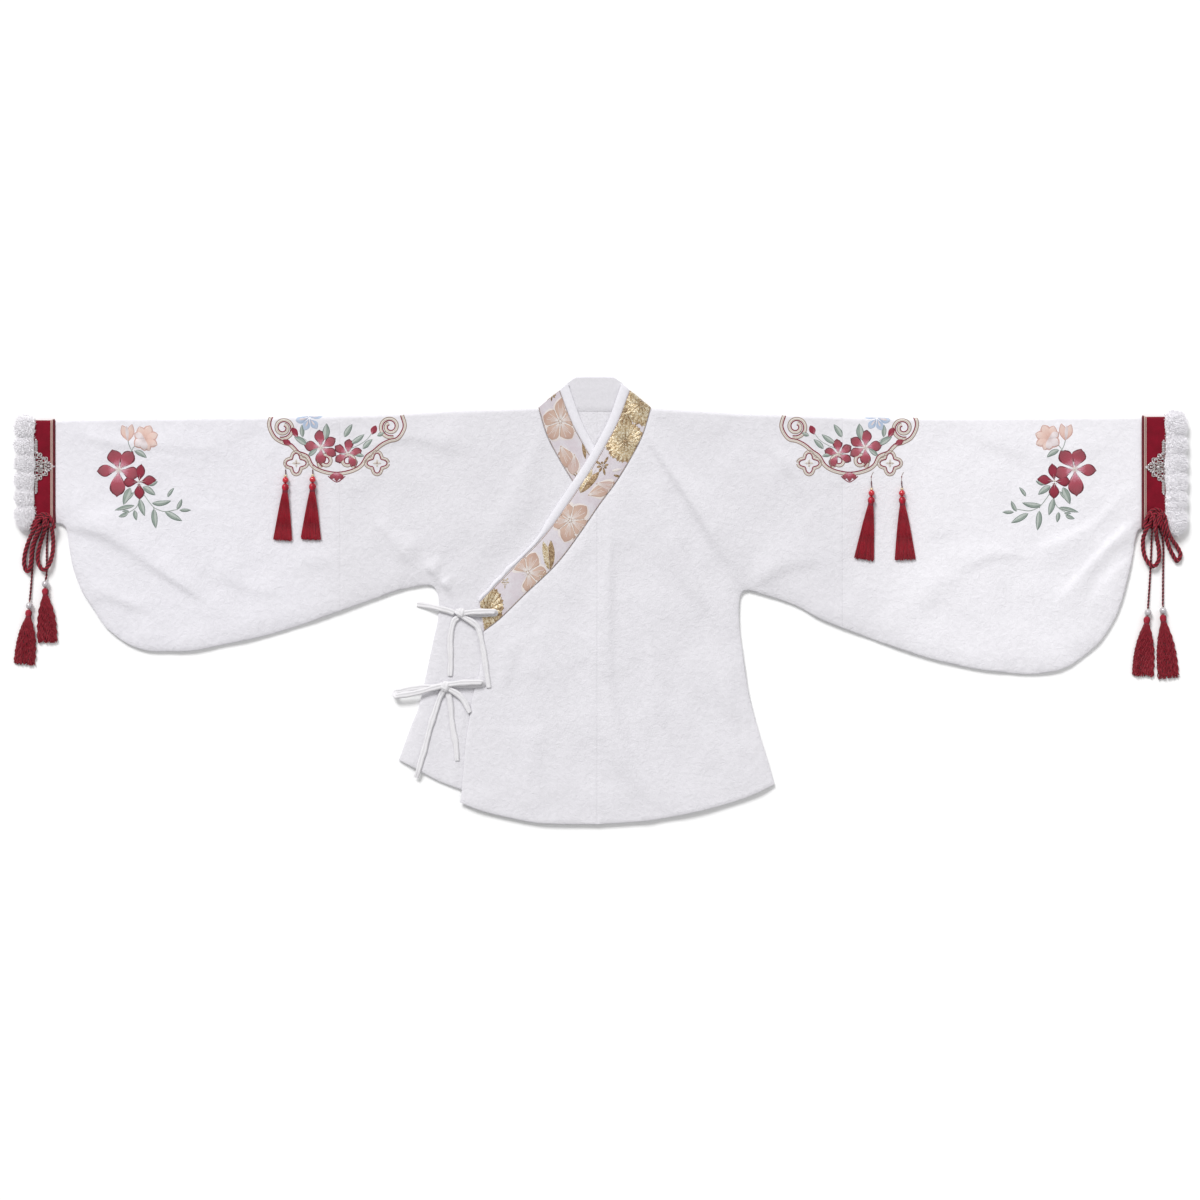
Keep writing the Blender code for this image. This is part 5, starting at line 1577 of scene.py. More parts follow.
TIE_RIBBONS = (  # name, nodes that it stands for, route
    ("tie_upper_bow", ("tie_upper_loop", "tie_upper_tail_b"), (
        *loop_path(-206.3, -19.2, 9.9, -161, -19.4, 10.4, 6.0, 1.8), (-211, -20.6, 13.0),
        (-212, -23.6, 12.4), (-208.5, -27, 11.4), (-198, -33, 10.8), (-188.5, -42, 10.2),
        (-183, -62, 10.2), (-178, -92, 10.2), (-172, -134, 10.2))),
    ("tie_upper_stub_end", ("tie_upper_stub",), (
        (-225.1, -19.2, 10), (-236, -15.5, 10), (-246, -13, 9.8), (-255, -11, 8.2),
        (-266, -8.6, 4.5), (-282, -6, 1.2))),
    ("tie_upper_end", ("tie_upper_tail_a",), (
        (-219, -26.4, 8.4), (-226, -34, 8), (-231, -60, 8), (-230.5, -92, 8), (-231.5, -116, 8))),
    ("tie_lower_bow_a", ("tie_lower_loop_a", "tie_lower_tail_a"), (
        *loop_path(-248.9, -132.2, 11.0, -316, -144, 5.0, 7.0, 3.4), (-243.5, -132.4, 14.4),
        (-240.5, -135.2, 13.4), (-243, -141.5, 10.4), (-248, -152, 9), (-260, -188, 9),
        (-270, -226, 9), (-277, -250, 9), (-280, -262, 8.9), (-283, -272, 6.5))),
    ("tie_lower_bow_b", ("tie_lower_loop_b", "tie_lower_tail_c"), (
        *loop_path(-230.0, -128.6, 11.0, -181, -127.6, 10.2, 6.0, 2.0), (-234.6, -129.4, 14.4),
        (-236, -132.6, 13.6), (-231.5, -137, 12.2), (-219.5, -144, 10.8), (-209, -156, 10.4),
        (-201, -172, 10.4))),
    ("tie_lower_end", ("tie_lower_tail_b",), (
        (-235, -140, 8.2), (-231, -158, 8), (-228, -190, 7.9), (-222.5, -222, 7.9),
        (-220.5, -246, 7.9))),
)


def level_frames(path):
    """Two directions across the path, the first one level. It passes smoothly over steep places."""
    steps = unit(np.gradient(path, axis=0))
    sides = np.cross(steps, (0.0, 0.0, 1.0))
    for k in range(1, len(sides)):
        if sides[k] @ sides[k - 1] < 0:
            sides[k] *= -1
    for _ in range(3):
        sides[1:-1] = (sides[:-2] + 2 * sides[1:-1] + sides[2:]) / 4
    sides = unit(sides - steps * np.sum(sides * steps, axis=1)[:, None])
    return sides, np.cross(steps, sides)


def ribbon(shape, path, width=RIBBON_WIDTH, thick=RIBBON_THICK, wave=0.0):
    """A soft flat tube along the path, its width level where the path is level."""
    sides, ups = level_frames(path)
    length = distance_along(path)
    turns = circle(RIBBON_AROUND)
    wide = np.sign(np.cos(turns)) * np.abs(np.cos(turns)) ** 0.9 * width / 2
    deep = np.sign(np.sin(turns)) * np.abs(np.sin(turns)) ** 1.4 * thick / 2
    uneven = 1 + 0.09 * np.sin(length / 9.0 + wave) + 0.05 * np.sin(length / 3.7 + 2 * wave)
    ends = np.minimum(length, length[-1] - length)
    uneven *= 0.86 + 0.14 * np.clip(ends / 3.0, 0, 1)
    points = (path[:, None] + sides[:, None] * (wide[None] * uneven[:, None])[..., None]
              + ups[:, None] * (deep[None] * uneven[:, None])[..., None])
    places = np.stack([np.repeat(length, RIBBON_AROUND), np.tile(wide, len(path))], axis=1)
    shape.add(points.reshape(-1, 3), tube_faces(len(path), RIBBON_AROUND), 0, places)


def make_ties():
    """The two bows at the side, their free ends, and the knots wrapped over them."""
    for k, (name, nodes, route) in enumerate(TIE_RIBBONS):
        shape = Shape()
        ribbon(shape, catmull(route, RIBBON_STEP), wave=1.3 * k)
        piece = shape.object(name, [white_satin], nodes)
    for name, x, y, z, half_x, half_y, half_z in TIE_KNOTS:
        shape = Shape()
        ball(shape, (x, y, z), (half_x * 0.8, half_y * 0.8, half_z * 0.85))
        for turn, shift, reach, width in ((78, -1.2, 0.98, 9.0), (150, 1.0, 0.94, 7.5)):
            angle = math.radians(turn)
            ahead = np.array((*polar(0, 0, 1.0, angle), 0.0))
            beside = np.array((-ahead[1], ahead[0], 0.0))
            span = reach / math.hypot(ahead[0] / half_x, ahead[1] / half_y)
            path = np.array([
                np.array((x, y, z)) + ahead * span * math.cos(t) + beside * shift
                + np.array((0, 0, (half_z + 0.3) * math.sin(t)))
                for t in np.linspace(-0.3, math.pi + 0.3, 24)])
            ribbon(shape, path, width, 1.9)
        shape.object(name + "_wrap", [white_satin], [name])


def make_beads():
    """A red bead, a champagne bead above it, and the dark thread that holds the tassel."""
    z = FLAT_TOP + CLEARANCE + 4.9
    for name, x, y, thread_y in BEADS:
        shape = Shape()
        ball(shape, (x, y, z), (4.9, 4.9, 4.9), 28, 16, axis="y")
        ball(shape, (x, y + 6.4, z - 0.6), (2.6, 2.0, 2.6), number=1, axis="y")
        line = catmull(((x, y + 7, z), (x + 0.3, y + 10, z - 1.5), (x - 0.2, y + 14, z - 3.4),
                        (x, thread_y, z - 4.0)), 1.0)
        rope(shape, line, 1.8, strands=2, number=2)
        line = np.array(((x, y - 4.6, z), (x, y - 6.5, z - 0.2)))
        shape.add(*tube(line, 0.8, 8)[:2], 2)
        shape.object(name + "_strung", [bead_red, champagne, thread_dark], [name])


# Embroidery and woven motifs, drawn flat and then laid on what carries them

class Sketch:
    """Stitched forms. Each point is x, y and how far it stands up."""

    def __init__(self, centre, flip=False):
        self.centre = np.array(centre, float)
        self.flip = flip
        self.points = []
        self.places = []
        self.faces = []
        self.numbers = []
        self.count = 0

    def add(self, flat, up, faces, number, places):
        flat = np.array(flat, float)
        if self.flip:
            flat[:, 0] *= -1
        self.points.append(np.column_stack([flat + self.centre, up]))
        self.places.append(np.asarray(places, float))
        self.faces += [tuple(i + self.count for i in face) for face in faces]
        self.numbers += [number] * len(faces)
        self.count += len(flat)

    def petal(self, x, y, angle, length, width, number, swell_at=1.45, height=0.5, curl=0.0,
              start=0.0, ragged=0.05, tip=0.0):
        """A satin-stitched petal or leaf from its base, widest beyond or before its middle."""
        rows, columns = 11, 7
        u = np.linspace(0, 1, rows)[:, None]
        v = np.linspace(-1, 1, columns)[None]
        half = width / 2 * np.sin(math.pi * u ** swell_at) ** 0.72
        half = np.maximum(half, width * 0.04)
        half = half * (1 + ragged * np.sin(8 * u + 3 * v + length))
        along = start + u * (length - start) + tip * u ** 5 * (1 - np.abs(v)) * length
        bend = curl * length * u ** 2
        slope = 2 * curl * u
        flat_x = along - slope * half * v
        flat_y = bend + half * v
        turn = math.radians(angle)
        px = x + flat_x * math.cos(turn) - flat_y * math.sin(turn)
        py = y + flat_x * math.sin(turn) + flat_y * math.cos(turn)
        up = height * np.sqrt(np.maximum(0, 1 - v * v)) * np.sin(math.pi * (0.04 + 0.92 * u)) ** 0.4
        up = np.where(np.abs(v) > 0.99, -0.2, up + 0.08)
        places = np.stack([u + 0 * v, v + 0 * u], axis=2).reshape(-1, 2)
        self.add(np.stack([px, py], axis=2).reshape(-1, 2), up.ravel(), grid_faces(rows, columns),
                 number, places)

    def line(self, route, width, number, height=0.42, spacing=1.4, taper=0.0):
        """A stitched line along a smooth route."""
        path = catmull(route, spacing) if len(route) > 2 else resample(route, spacing)
        ahead = np.gradient(path, axis=0)
        ahead /= np.maximum(np.linalg.norm(ahead, axis=1), 1e-9)[:, None]
        side = np.stack([-ahead[:, 1], ahead[:, 0]], axis=1)
        share = np.linspace(0, 1, len(path))
        half = width / 2 * (1 - taper * share)
        flat = np.stack([path + side * (half * v)[:, None] for v in (-1, -0.55, 0, 0.55, 1)], axis=1)
        up = np.tile(np.array((-0.2, height * 0.75, height, height * 0.75, -0.2)), len(path))
        places = np.stack([np.repeat(share * len(path) * spacing / 8.0, 5),
                           np.tile((-0.5, -0.25, 0.0, 0.25, 0.5), len(path))], axis=1)
        self.add(flat.reshape(-1, 2), up, grid_faces(len(path), 5), number, places)

    def dot(self, x, y, radius, number, height=0.6):
        turns = np.arange(8) * math.pi / 4
        flat = [(x, y)]
        up = [height]
        places = [(0.0, 0.0)]
        for share, rise in ((0.6, 0.75), (1.0, -0.3)):
            for t in turns:
                flat.append(polar(x, y, radius * share, t))
                up.append(height * rise)
                places.append((share, t / 3))
        faces = [(0, 1 + k, 1 + (k + 1) % 8) for k in range(8)]
        faces += [(1 + k, 9 + k, 9 + (k + 1) % 8, 1 + (k + 1) % 8) for k in range(8)]
        self.add(flat, np.array(up), faces, number, places)

    def dots(self, x, y, reach, count, start, radius, number, height=0.6):
        """A ring of dots, the first at an angle in degrees."""
        for k in range(count):
            angle = math.radians(start + 360 / count * k)
            self.dot(*polar(x, y, reach, angle), radius, number, height)

    def ray(self, x, y, angle, distances, width, number, height, taper=0.0):
        """A stitched line straight out from x, y, at an angle in degrees."""
        turn = math.radians(angle)
        self.line([polar(x, y, d, turn) for d in distances], width, number, height, taper=taper)

    def laid(self, name, materials, mapping):
        """One piece of all the forms, laid on its carrier by the mapping."""
        flat = np.vstack(self.points)
        placed, kept = mapping(flat[:, :2], flat[:, 2])
        outwards = mapping(flat[:, :2], flat[:, 2] + 1.0)[0] - placed
        shape = Shape()
        faces = []
        numbers = []
        for face, number in zip(self.faces, self.numbers):
            if all(kept[i] for i in face):
                a, b, c = (placed[i] for i in face[:3])
                facing = np.cross(b - a, c - a) @ outwards[face[0]]
                faces.append(face if facing >= 0 else face[::-1])
                numbers.append(number)
        shape.add(placed, faces, 0, np.vstack(self.places))
        shape.numbers = numbers
        return shape.object(name, materials)


def on_cloth(points, up):
    return drape(points, up), np.ones(len(points), bool)


def spiral(x, y, first, last, start, turns, steps=26):
    """Points of a scroll, from its outer end inwards."""
    shares = np.linspace(0, 1, steps)
    radius = first + (last - first) * shares ** 0.8
    angle = np.radians(start + 360 * turns * shares)
    return [polar(x, y, r, a) for r, a in zip(radius, angle)]


STITCH_KINDS = (  # each stop: its place along the motif, and the colour there
    stitches("stitch_crimson", (0.0, 236, 200, 208), (0.2, 214, 130, 152), (0.46, 168, 34, 64),
             (0.85, 142, 16, 46), (1.0, 118, 12, 38)),
    stitches("stitch_deep", (0.0, 120, 16, 42), (0.4, 158, 28, 60), (1.0, 142, 22, 50)),
    stitches("stitch_peach", (0.0, 232, 186, 172), (0.5, 236, 202, 190), (1.0, 243, 222, 214)),
    stitches("stitch_pale", (0.0, 226, 206, 206), (0.5, 240, 230, 232), (1.0, 232, 216, 216)),
    stitches("stitch_leaf", (0.0, 140, 154, 146), (0.5, 158, 172, 162), (1.0, 134, 150, 142),
             by_side=(196, 204, 198)),
    stitches("stitch_stem", (0.0, 150, 162, 154), (1.0, 172, 182, 174)),
    stitches("stitch_cream", (0.0, 228, 218, 206), (1.0, 242, 235, 226)),
    stitches("stitch_line_crimson", (0.0, 132, 16, 44), (1.0, 146, 34, 60)),
    stitches("stitch_line_taupe", (0.0, 160, 136, 124), (1.0, 178, 156, 144)),
    stitches("stitch_blue", (0.0, 164, 184, 214), (0.5, 180, 198, 224), (1.0, 206, 216, 234)),
    stitches("stitch_outline", (0.0, 206, 156, 146), (1.0, 218, 178, 168)),
    stitches("stitch_edge", (0.0, 150, 60, 84), (0.3, 108, 12, 38), (1.0, 88, 8, 28)),
    stitches("stitch_leaf_edge", (0.0, 112, 128, 120), (1.0, 122, 138, 130)),
)
CRIMSON_ON, DEEP_ON, PEACH_ON, PALE_ON, LEAF_ON, STEM_ON, CREAM_ON, RED_LINE, TAUPE_LINE, BLUE_ON, \
    OUTLINE_ON, EDGE_ON, LEAF_EDGE_ON = range(13)


def blossom(sketch, x, y, petals, number, start=4.0):
    """An open blossom: its petals, a pale centre and fine stamens."""
    sketch.dot(x, y, 1.6 * start + 2.0, PALE_ON, 0.3)
    for angle, length, width in petals:
        sketch.petal(x, y, angle, length + 0.9, width + 1.7, EDGE_ON, swell_at=1.6, start=start - 0.6,
                     height=0.36, tip=0.03)
        sketch.petal(x, y, angle, length, width, number, swell_at=1.6, start=start, height=0.6, tip=0.03)
        for side in (-1, 1):
            turn = math.radians(angle + side * 30 * width / length)
            sketch.line([(x + d * length * math.cos(turn), y + d * length * math.sin(turn))
                         for d in (0.22, 0.36, 0.5)], 1.0, PALE_ON, 0.72, taper=0.7)
    for k in range(5):
        turn = math.radians(72 * k + 20)
        sketch.dot(x + 2.0 * math.cos(turn), y + 2.0 * math.sin(turn), 1.1, CREAM_ON)
    sketch.dot(x, y, 1.5, CREAM_ON, 0.8)


def leaf(sketch, x, y, angle, length, width, curl):
    """A leaf of two tones with a darker edge."""
    sketch.petal(x, y, angle, length + 0.7, width + 1.4, LEAF_EDGE_ON, swell_at=0.85, height=0.28,
                 curl=curl, ragged=0.03)
    sketch.petal(x, y, angle, length, width, LEAF_ON, swell_at=0.85, height=0.48, curl=curl, ragged=0.03)


SPRAY_LEAVES = (  # x, y, angle, length, width, curl
    (18, -28, -116, 27, 12, 0.06), (23, -34, -124, 17, 4, -0.1), (37, -26, -28, 22, 10, -0.12),
    (46, -24, 18, 14, 6, 0.1), (51, -51, -12, 27, 8, 0.34), (75, -42, 66, 16, 5, -0.2),
    (71, -64, -32, 29, 9.5, 0.05), (89, -61, 55, 17, 6, 0.16), (93, -62, -3, 17, 5, 0.05),
    (54, -60, -90, 29, 10, 0.1), (32, -45, -78, 26, 9.5, 0.08), (24, -55, 190, 30, 6.5, 0.06),
    (24.5, -62, -86, 15, 6.5, 0.1), (14, -67, 206, 14, 6, -0.1), (16, -64, 178, 10, 3.5, 0.0),
    (24, 29, -14, 20, 8, -0.3),
)
SPRAY_STEMS = (
    ((36, -34), (44, -46), (53, -57), (62, -62), (72, -64), (90, -61)),
    ((32, -44), (29, -54), (24, -60), (13, -67)),
    ((53, -57), (54, -60)),
    ((14, 46), (16, 38), (19, 31), (21, 28)),
    ((31, 38), (27, 38), (22, 33), (20, 29)),
    ((20, 29), (17, 26)),
)


def make_spray(name, x, y, flip, lower):
    """A spray of blossoms above a cuff: a large and a small crimson one, a pale one and a bud."""
    sketch = Sketch((x, y), flip)
    for route in SPRAY_STEMS:
        sketch.line(route, 1.5, STEM_ON)
    for leaf_x, leaf_y, angle, length, width, curl in SPRAY_LEAVES:
        leaf(sketch, leaf_x, leaf_y + lower * (leaf_y < -45), angle, length, width, curl)
    for angle, length, width in (
            (108, 19, 15), (62, 22, 16), (18, 22, 15), (-24, 22, 14), (-62, 19, 13)):
        sketch.petal(38, 47, angle, length + 1.2, width + 2.0, OUTLINE_ON, height=0.3)
        sketch.petal(38, 47, angle, length, width, PEACH_ON, height=0.5, tip=0.05)
    for angle, length, width in ((150, 17, 14), (214, 18, 17), (268, 17, 15)):
        sketch.petal(40, 47, angle, length + 1.2, width + 1.8, OUTLINE_ON, height=0.55)
        sketch.petal(40, 47, angle, length, width, PALE_ON, height=0.8)
    for angle, length, width in ((112, 25, 13), (78, 25, 12)):
        sketch.petal(15, 44, angle, length + 1.2, width + 2.0, OUTLINE_ON, height=0.3, swell_at=1.1)
        sketch.petal(15, 44, angle, length, width, PEACH_ON, height=0.6, swell_at=1.1)
    sketch.petal(14, 44, 96, 23, 8, PALE_ON, height=0.75, swell_at=1.1)
    small = ((82, 26, 15), (8, 25, 16), (-88, 25, 16), (180, 23, 16))
    for angle, length, width in small:
        sketch.petal(31, -19, angle, length + 0.9, width + 1.6, EDGE_ON, height=0.6, start=2.0, tip=0.06)
        sketch.petal(31, -19, angle, length, width, DEEP_ON, height=0.85, start=2.5, tip=0.06)
        turn = math.radians(angle)
        sketch.line([(31 + d * math.cos(turn), -19 + d * math.sin(turn)) for d in (4.0, 8.0, 12.0)],
                    1.4, PALE_ON, 1.0, taper=0.8)
    blossom(sketch, 0, 0, ((108, 31, 24), (52, 34, 24), (-16, 31, 22), (-94, 40, 27), (184, 32, 20)),
            CRIMSON_ON, start=3.0)
    sketch.dot(31, -18, 2.2, CREAM_ON, 1.2)
    for dot_x, dot_y in ((28.5, -22), (33.5, -22), (31, -24), (35, -18.5)):
        sketch.dot(dot_x, dot_y, 1.0, CREAM_ON, 1.1)
    sketch.laid(name, STITCH_KINDS, on_cloth)


def double_line(sketch, route, gap=4.3):
    """A crimson line with a paler one beside it."""
    path = catmull(route, 2.0)
    for shift, width, number, height in (
            (0.55, 4.6, CREAM_ON, 0.35), (0.0, 2.3, RED_LINE, 0.6), (0.5, 0.9, TAUPE_LINE, 0.5),
            (1.1, 1.9, TAUPE_LINE, 0.55)):
        sketch.line(offset_line(path, gap * shift), width, number, height)


def make_medallion(name, x, flip, hooks):
    """Half a roundel that hangs from the shoulder: cloud scrolls, blossoms and leaves."""
    sketch = Sketch((x, 0.0), flip)
    double_line(sketch, ((-98, 283), (-101, 268), (-94, 252), (-82, 244), (-70, 240), (-58, 228)))
    double_line(sketch, ((98, 283), (102, 266), (93, 250), (80, 246), (68, 240), (56, 230)), -4.3)
    double_line(sketch, spiral(-82, 264, 15, 3, 250, 1.5))
    double_line(sketch, spiral(82, 266, 15, 3, -70, -1.5), -4.3)
    double_line(sketch, ((-58, 228), (-44, 222), (-36, 208), (-22, 200), (0, 196), (22, 200), (36, 208),
                         (45, 222), (56, 230)))
    for side in (-1, 1):
        quatrefoil = [(side * 62 + (12 + 3.4 * math.cos(4 * t)) * math.cos(t),
                       210 + (12 + 3.4 * math.cos(4 * t)) * math.sin(t))
                      for t in np.linspace(0, 2 * math.pi, 29)]
        double_line(sketch, quatrefoil, 3.6)
        for angle in (0, 90, 180, 270):
            sketch.petal(side * 62, 210, angle, 6.5, 4.0, CREAM_ON, swell_at=1.0, height=0.5)
        sketch.dot(side * 62, 210, 1.6, RED_LINE)
    double_line(sketch, spiral(-17, 213, 10, 2.5, 240, -1.2), -4.3)
    double_line(sketch, spiral(17, 213, 10, 2.5, 300, 1.2))
    for k in range(3):
        sketch.petal(0, 197, -90 + 42 * (k - 1), 15, 9, CRIMSON_ON, height=0.6, start=1.0)
    sketch.line(((-13, 190), (-6, 184), (0, 181), (6, 184), (13, 190)), 1.8, RED_LINE)
    for leaf_x, leaf_y, angle, length, width, curl in (
            (-18, 246, 78, 24, 12, 0.1), (12, 250, 64, 22, 9, -0.1), (22, 240, 28, 24, 8, 0.12),
            (40, 232, 50, 20, 8, -0.1), (-46, 238, 140, 22, 9, 0.12), (-30, 232, 215, 18, 7, 0.1),
            (-52, 250, 100, 18, 7, -0.12), (26, 226, -24, 16, 7, 0.1), (62, 252, 20, 14, 6, 0.1)):
        leaf(sketch, leaf_x, leaf_y, angle, length, width, curl)
    sketch.line(((20, 232), (34, 238), (46, 246), (54, 256)), 1.2, STEM_ON)
    sketch.line(((-38, 236), (-48, 246), (-60, 252)), 1.2, STEM_ON)
    for bud_x, bud_y, angle, length in ((54, 254, 66, 15), (-60, 250, 120, 17), (-70, 238, 150, 15)):
        sketch.petal(bud_x, bud_y, angle, length, 11, DEEP_ON, swell_at=1.1, height=0.7)
        sketch.petal(bud_x, bud_y, angle + 16, length * 0.7, 5, CRIMSON_ON, swell_at=1.1, height=0.8)
    for angle, length, width in ((20, 22, 14), (78, 20, 14), (130, 22, 15), (190, 21, 14), (248, 20, 13),
                                 (308, 20, 13)):
        sketch.petal(-42, 279, angle, length, width, BLUE_ON, height=0.5, start=2.0)
        sketch.petal(-42, 279, angle, length * 0.8, width * 0.4, PALE_ON, height=0.6, start=3.0)
    blossom(sketch, -24, 234, ((96, 26, 18), (32, 25, 16), (-28, 25, 16), (-92, 26, 18), (172, 25, 17)),
            CRIMSON_ON, start=2.6)
    blossom(sketch, 17, 224, ((84, 22, 15), (14, 21, 14), (-58, 22, 15), (210, 21, 14), (148, 22, 14)),
            CRIMSON_ON, start=2.4)
    for hook_x, hook_y in hooks:
        local = hook_x - x
        if flip:
            local = -local
        hook = ((local - 3, hook_y + 13), (local, hook_y + 7), (local, hook_y - 1))
        sketch.line(hook, 1.2, TAUPE_LINE)
        sketch.dot(local, hook_y + 6, 1.3, RED_LINE)
    sketch.laid(name, STITCH_KINDS, on_cloth)


class Band:
    """The collar band's outer surface: places along it and across it, from a run of its rows."""

    def __init__(self, rows):
        self.seam = np.array([points[0] for points, _ in rows])
        self.edge = np.array([points[1] for points, _ in rows])
        self.normal = np.array([normal for _, normal in rows], float)
        middle = (self.seam + self.edge) / 2
        steps = np.linalg.norm(np.diff(middle, axis=0), axis=1)
        self.along = np.concatenate([[0], np.cumsum(steps)])
        self.middle = middle

    def at(self, s, w, up):
        """Points on the band, and whether each lies inside its edges."""
        def blend(array):
            return np.stack([np.interp(s, self.along, array[:, k]) for k in range(3)], axis=1)
        seam, edge, normal = blend(self.seam), blend(self.edge), blend(self.normal)
        normal /= np.linalg.norm(normal, axis=1)[:, None]
        width = np.linalg.norm(edge - seam, axis=1)
        share = np.clip(w / width, 0.012, 0.988)
        crown = 0.6 * (1 - np.abs(2 * share - 1) ** 3) - 0.5 * (np.abs(2 * share - 1) > 0.97)
        up = np.where((w < 0) | (w > width), 0.0, up)
        return seam + (edge - seam) * share[:, None] + normal * (crown + up)[:, None]

    def mapping(self, x, y):
        """Lays a sketch whose centre is at x, y, clipped by the band's two edges."""
        k = int(np.argmin(np.hypot(self.middle[:, 0] - x, self.middle[:, 1] - y)
                          + 50 * (self.normal[:, 2] < 0.2)))
        k = min(max(k, 1), len(self.along) - 2)
        across = (self.edge[k] - self.seam[k])[:2]
        across /= np.linalg.norm(across)
        ahead = (self.middle[k + 1] - self.middle[k - 1])[:2]
        ahead -= across * (ahead @ across)
        ahead /= np.linalg.norm(ahead)
        centre_w = (np.array((x, y)) - self.seam[k][:2]) @ across
        centre_s = self.along[k] + (np.array((x, y)) - self.middle[k][:2]) @ ahead

        def lay(points, up):
            local = points - np.array((x, y))
            s = centre_s + local @ ahead
            w = centre_w + local @ across
            width = np.linalg.norm(self.edge[k] - self.seam[k])
            kept = (w > -4.0) & (w < width + 4.0) & (s > 1.0) & (s < self.along[-1] - 1.0)
            return self.at(s, w, up), kept
        return lay


def gilded(name, dark, middle, light, metallic):
    """Woven metal thread, crumpled: its tone follows the crumple bump, with painted shade towards bronze
    in the low folds and painted cream highlights on the raised ones.
    """
    made = Maker(name, linear(middle), 0.36, Metallic=metallic)
    crumple = made.noise(2.6, 3.0, 0.7, 0.8)
    threads = made.wave(made.apart("UV")[1], 2 * math.pi * 3)
    tone = made.sum("ADD", crumple, made.sum("MULTIPLY", threads, 0.07))
    # Bronze in the low crumples and cream on the raised ones: painted shade and painted highlights.
    made.colour(made.ramp(tone, ((0.3, linear(dark)), (0.46, linear(middle)), (0.64, linear(light)))))
    made.bump(crumple, 0.5)
    made.bump(threads, 0.08)
    return made.material


WOVEN_KINDS = (
    stitches("woven_pink", (0.0, 202, 168, 152), (0.35, 212, 184, 168), (1.0, 192, 156, 140),
             thread=0.2),
    stitches("woven_cream", (0.0, 236, 228, 222), (1.0, 230, 220, 218), thread=0.2),
    gilded("woven_gold", (138, 106, 66), (204, 178, 134), (250, 244, 224), 0.45),
    gilded("woven_bronze", (98, 72, 50), (146, 116, 84), (206, 180, 142), 0.35),
    stitches("woven_rose", (0.0, 196, 166, 156), (1.0, 214, 190, 182), thread=0.2),
    stitches("woven_edge", (0.0, 176, 142, 124), (1.0, 190, 160, 140), thread=0.2),
)
PINK_WOVEN, CREAM_WOVEN, GOLD_WOVEN, BRONZE_WOVEN, ROSE_WOVEN, EDGE_WOVEN = range(6)


def woven_petal(sketch, x, y, angle, length, width, number=PINK_WOVEN, start=5.0):
    """A petal with a pale border, a dark edge and pale veins."""
    for longer, wider, kind, height, sooner, ragged in (
            (2.2, 4.0, CREAM_WOVEN, 0.08, 1.0, 0.02), (0.8, 1.4, EDGE_WOVEN, 0.14, 0.5, 0.04),
            (0.0, 0.0, number, 0.2, 0.0, 0.04)):
        sketch.petal(x, y, angle, length + longer, width + wider, kind, 1.35, height,
                     start=start - sooner, ragged=ragged)
    for k in range(5):
        last = length * (0.68 + 0.16 * math.sin(2.0 * k + angle))
        sketch.ray(x, y, angle + (k - 2) * 0.62 * math.degrees(width / length) / 5,
                   (start + 1.0, last), 1.3, CREAM_WOVEN, 0.34)


def woven_flower(sketch, x, y, turn, size, shown=range(5)):
    """A broad five-petalled flower with pale outlines and a ring of short pale strokes."""
    for k in shown:
        woven_petal(sketch, x, y, turn + 72 * k, size, size * 0.94, start=3.0)
    for k in range(14):
        sketch.ray(x, y, turn + 360 / 14 * k, (3.4, 8.6 + 1.6 * (k % 2)), 1.1, CREAM_WOVEN, 0.42)
    sketch.dot(x, y, 3.2, CREAM_WOVEN, 0.4)
    sketch.dots(x, y, 2.0, 6, 0, 0.7, BRONZE_WOVEN, 0.5)


def chrysanthemum(sketch, x, y, turn, size, rays):
    """A gold flower of narrow rays in two rings over a darker ground."""
    for k in range(rays):
        sketch.petal(x, y, turn + 360 * (k + 0.5) / rays, size * 0.97, size * 0.36, BRONZE_WOVEN,
                     1.9, 0.08, ragged=0.0)
    for k in range(rays):
        sketch.petal(x, y, turn + 360 * k / rays, size * (0.94 + 0.05 * math.sin(3 * k)),
                     size * 0.22, GOLD_WOVEN, 1.9, 0.26, start=4.0, ragged=0.02)
    for k in range(rays // 2):
        sketch.petal(x, y, turn + 360 * (k + 0.3) / (rays // 2), size * 0.5, size * 0.16,
                     GOLD_WOVEN, 1.7, 0.4, start=2.0)
    sketch.dot(x, y, size * 0.09, BRONZE_WOVEN, 0.5)


def split_leaf(sketch, x, y, angle, length, width):
    """A leaf with a gold and a bronze half."""
    for lean, number in ((9, GOLD_WOVEN), (-9, BRONZE_WOVEN)):
        sketch.petal(x, y, angle + lean, length, width * 0.55, number, 0.9, 0.25)
    sketch.ray(x, y, angle, (0, length), 0.8, CREAM_WOVEN, 0.35)


def sprig(sketch, x, y, turn, size, number=BRONZE_WOVEN):
    """A small star of eight uneven petals."""
    for k in range(8):
        reach = size * (0.7 + 0.3 * math.sin(2.6 * k + turn))
        sketch.petal(x, y, turn + 45 * k, reach, size * 0.26, number, 1.2, 0.25, start=2.0)
    sketch.dot(x, y, 1.3, number, 0.4)


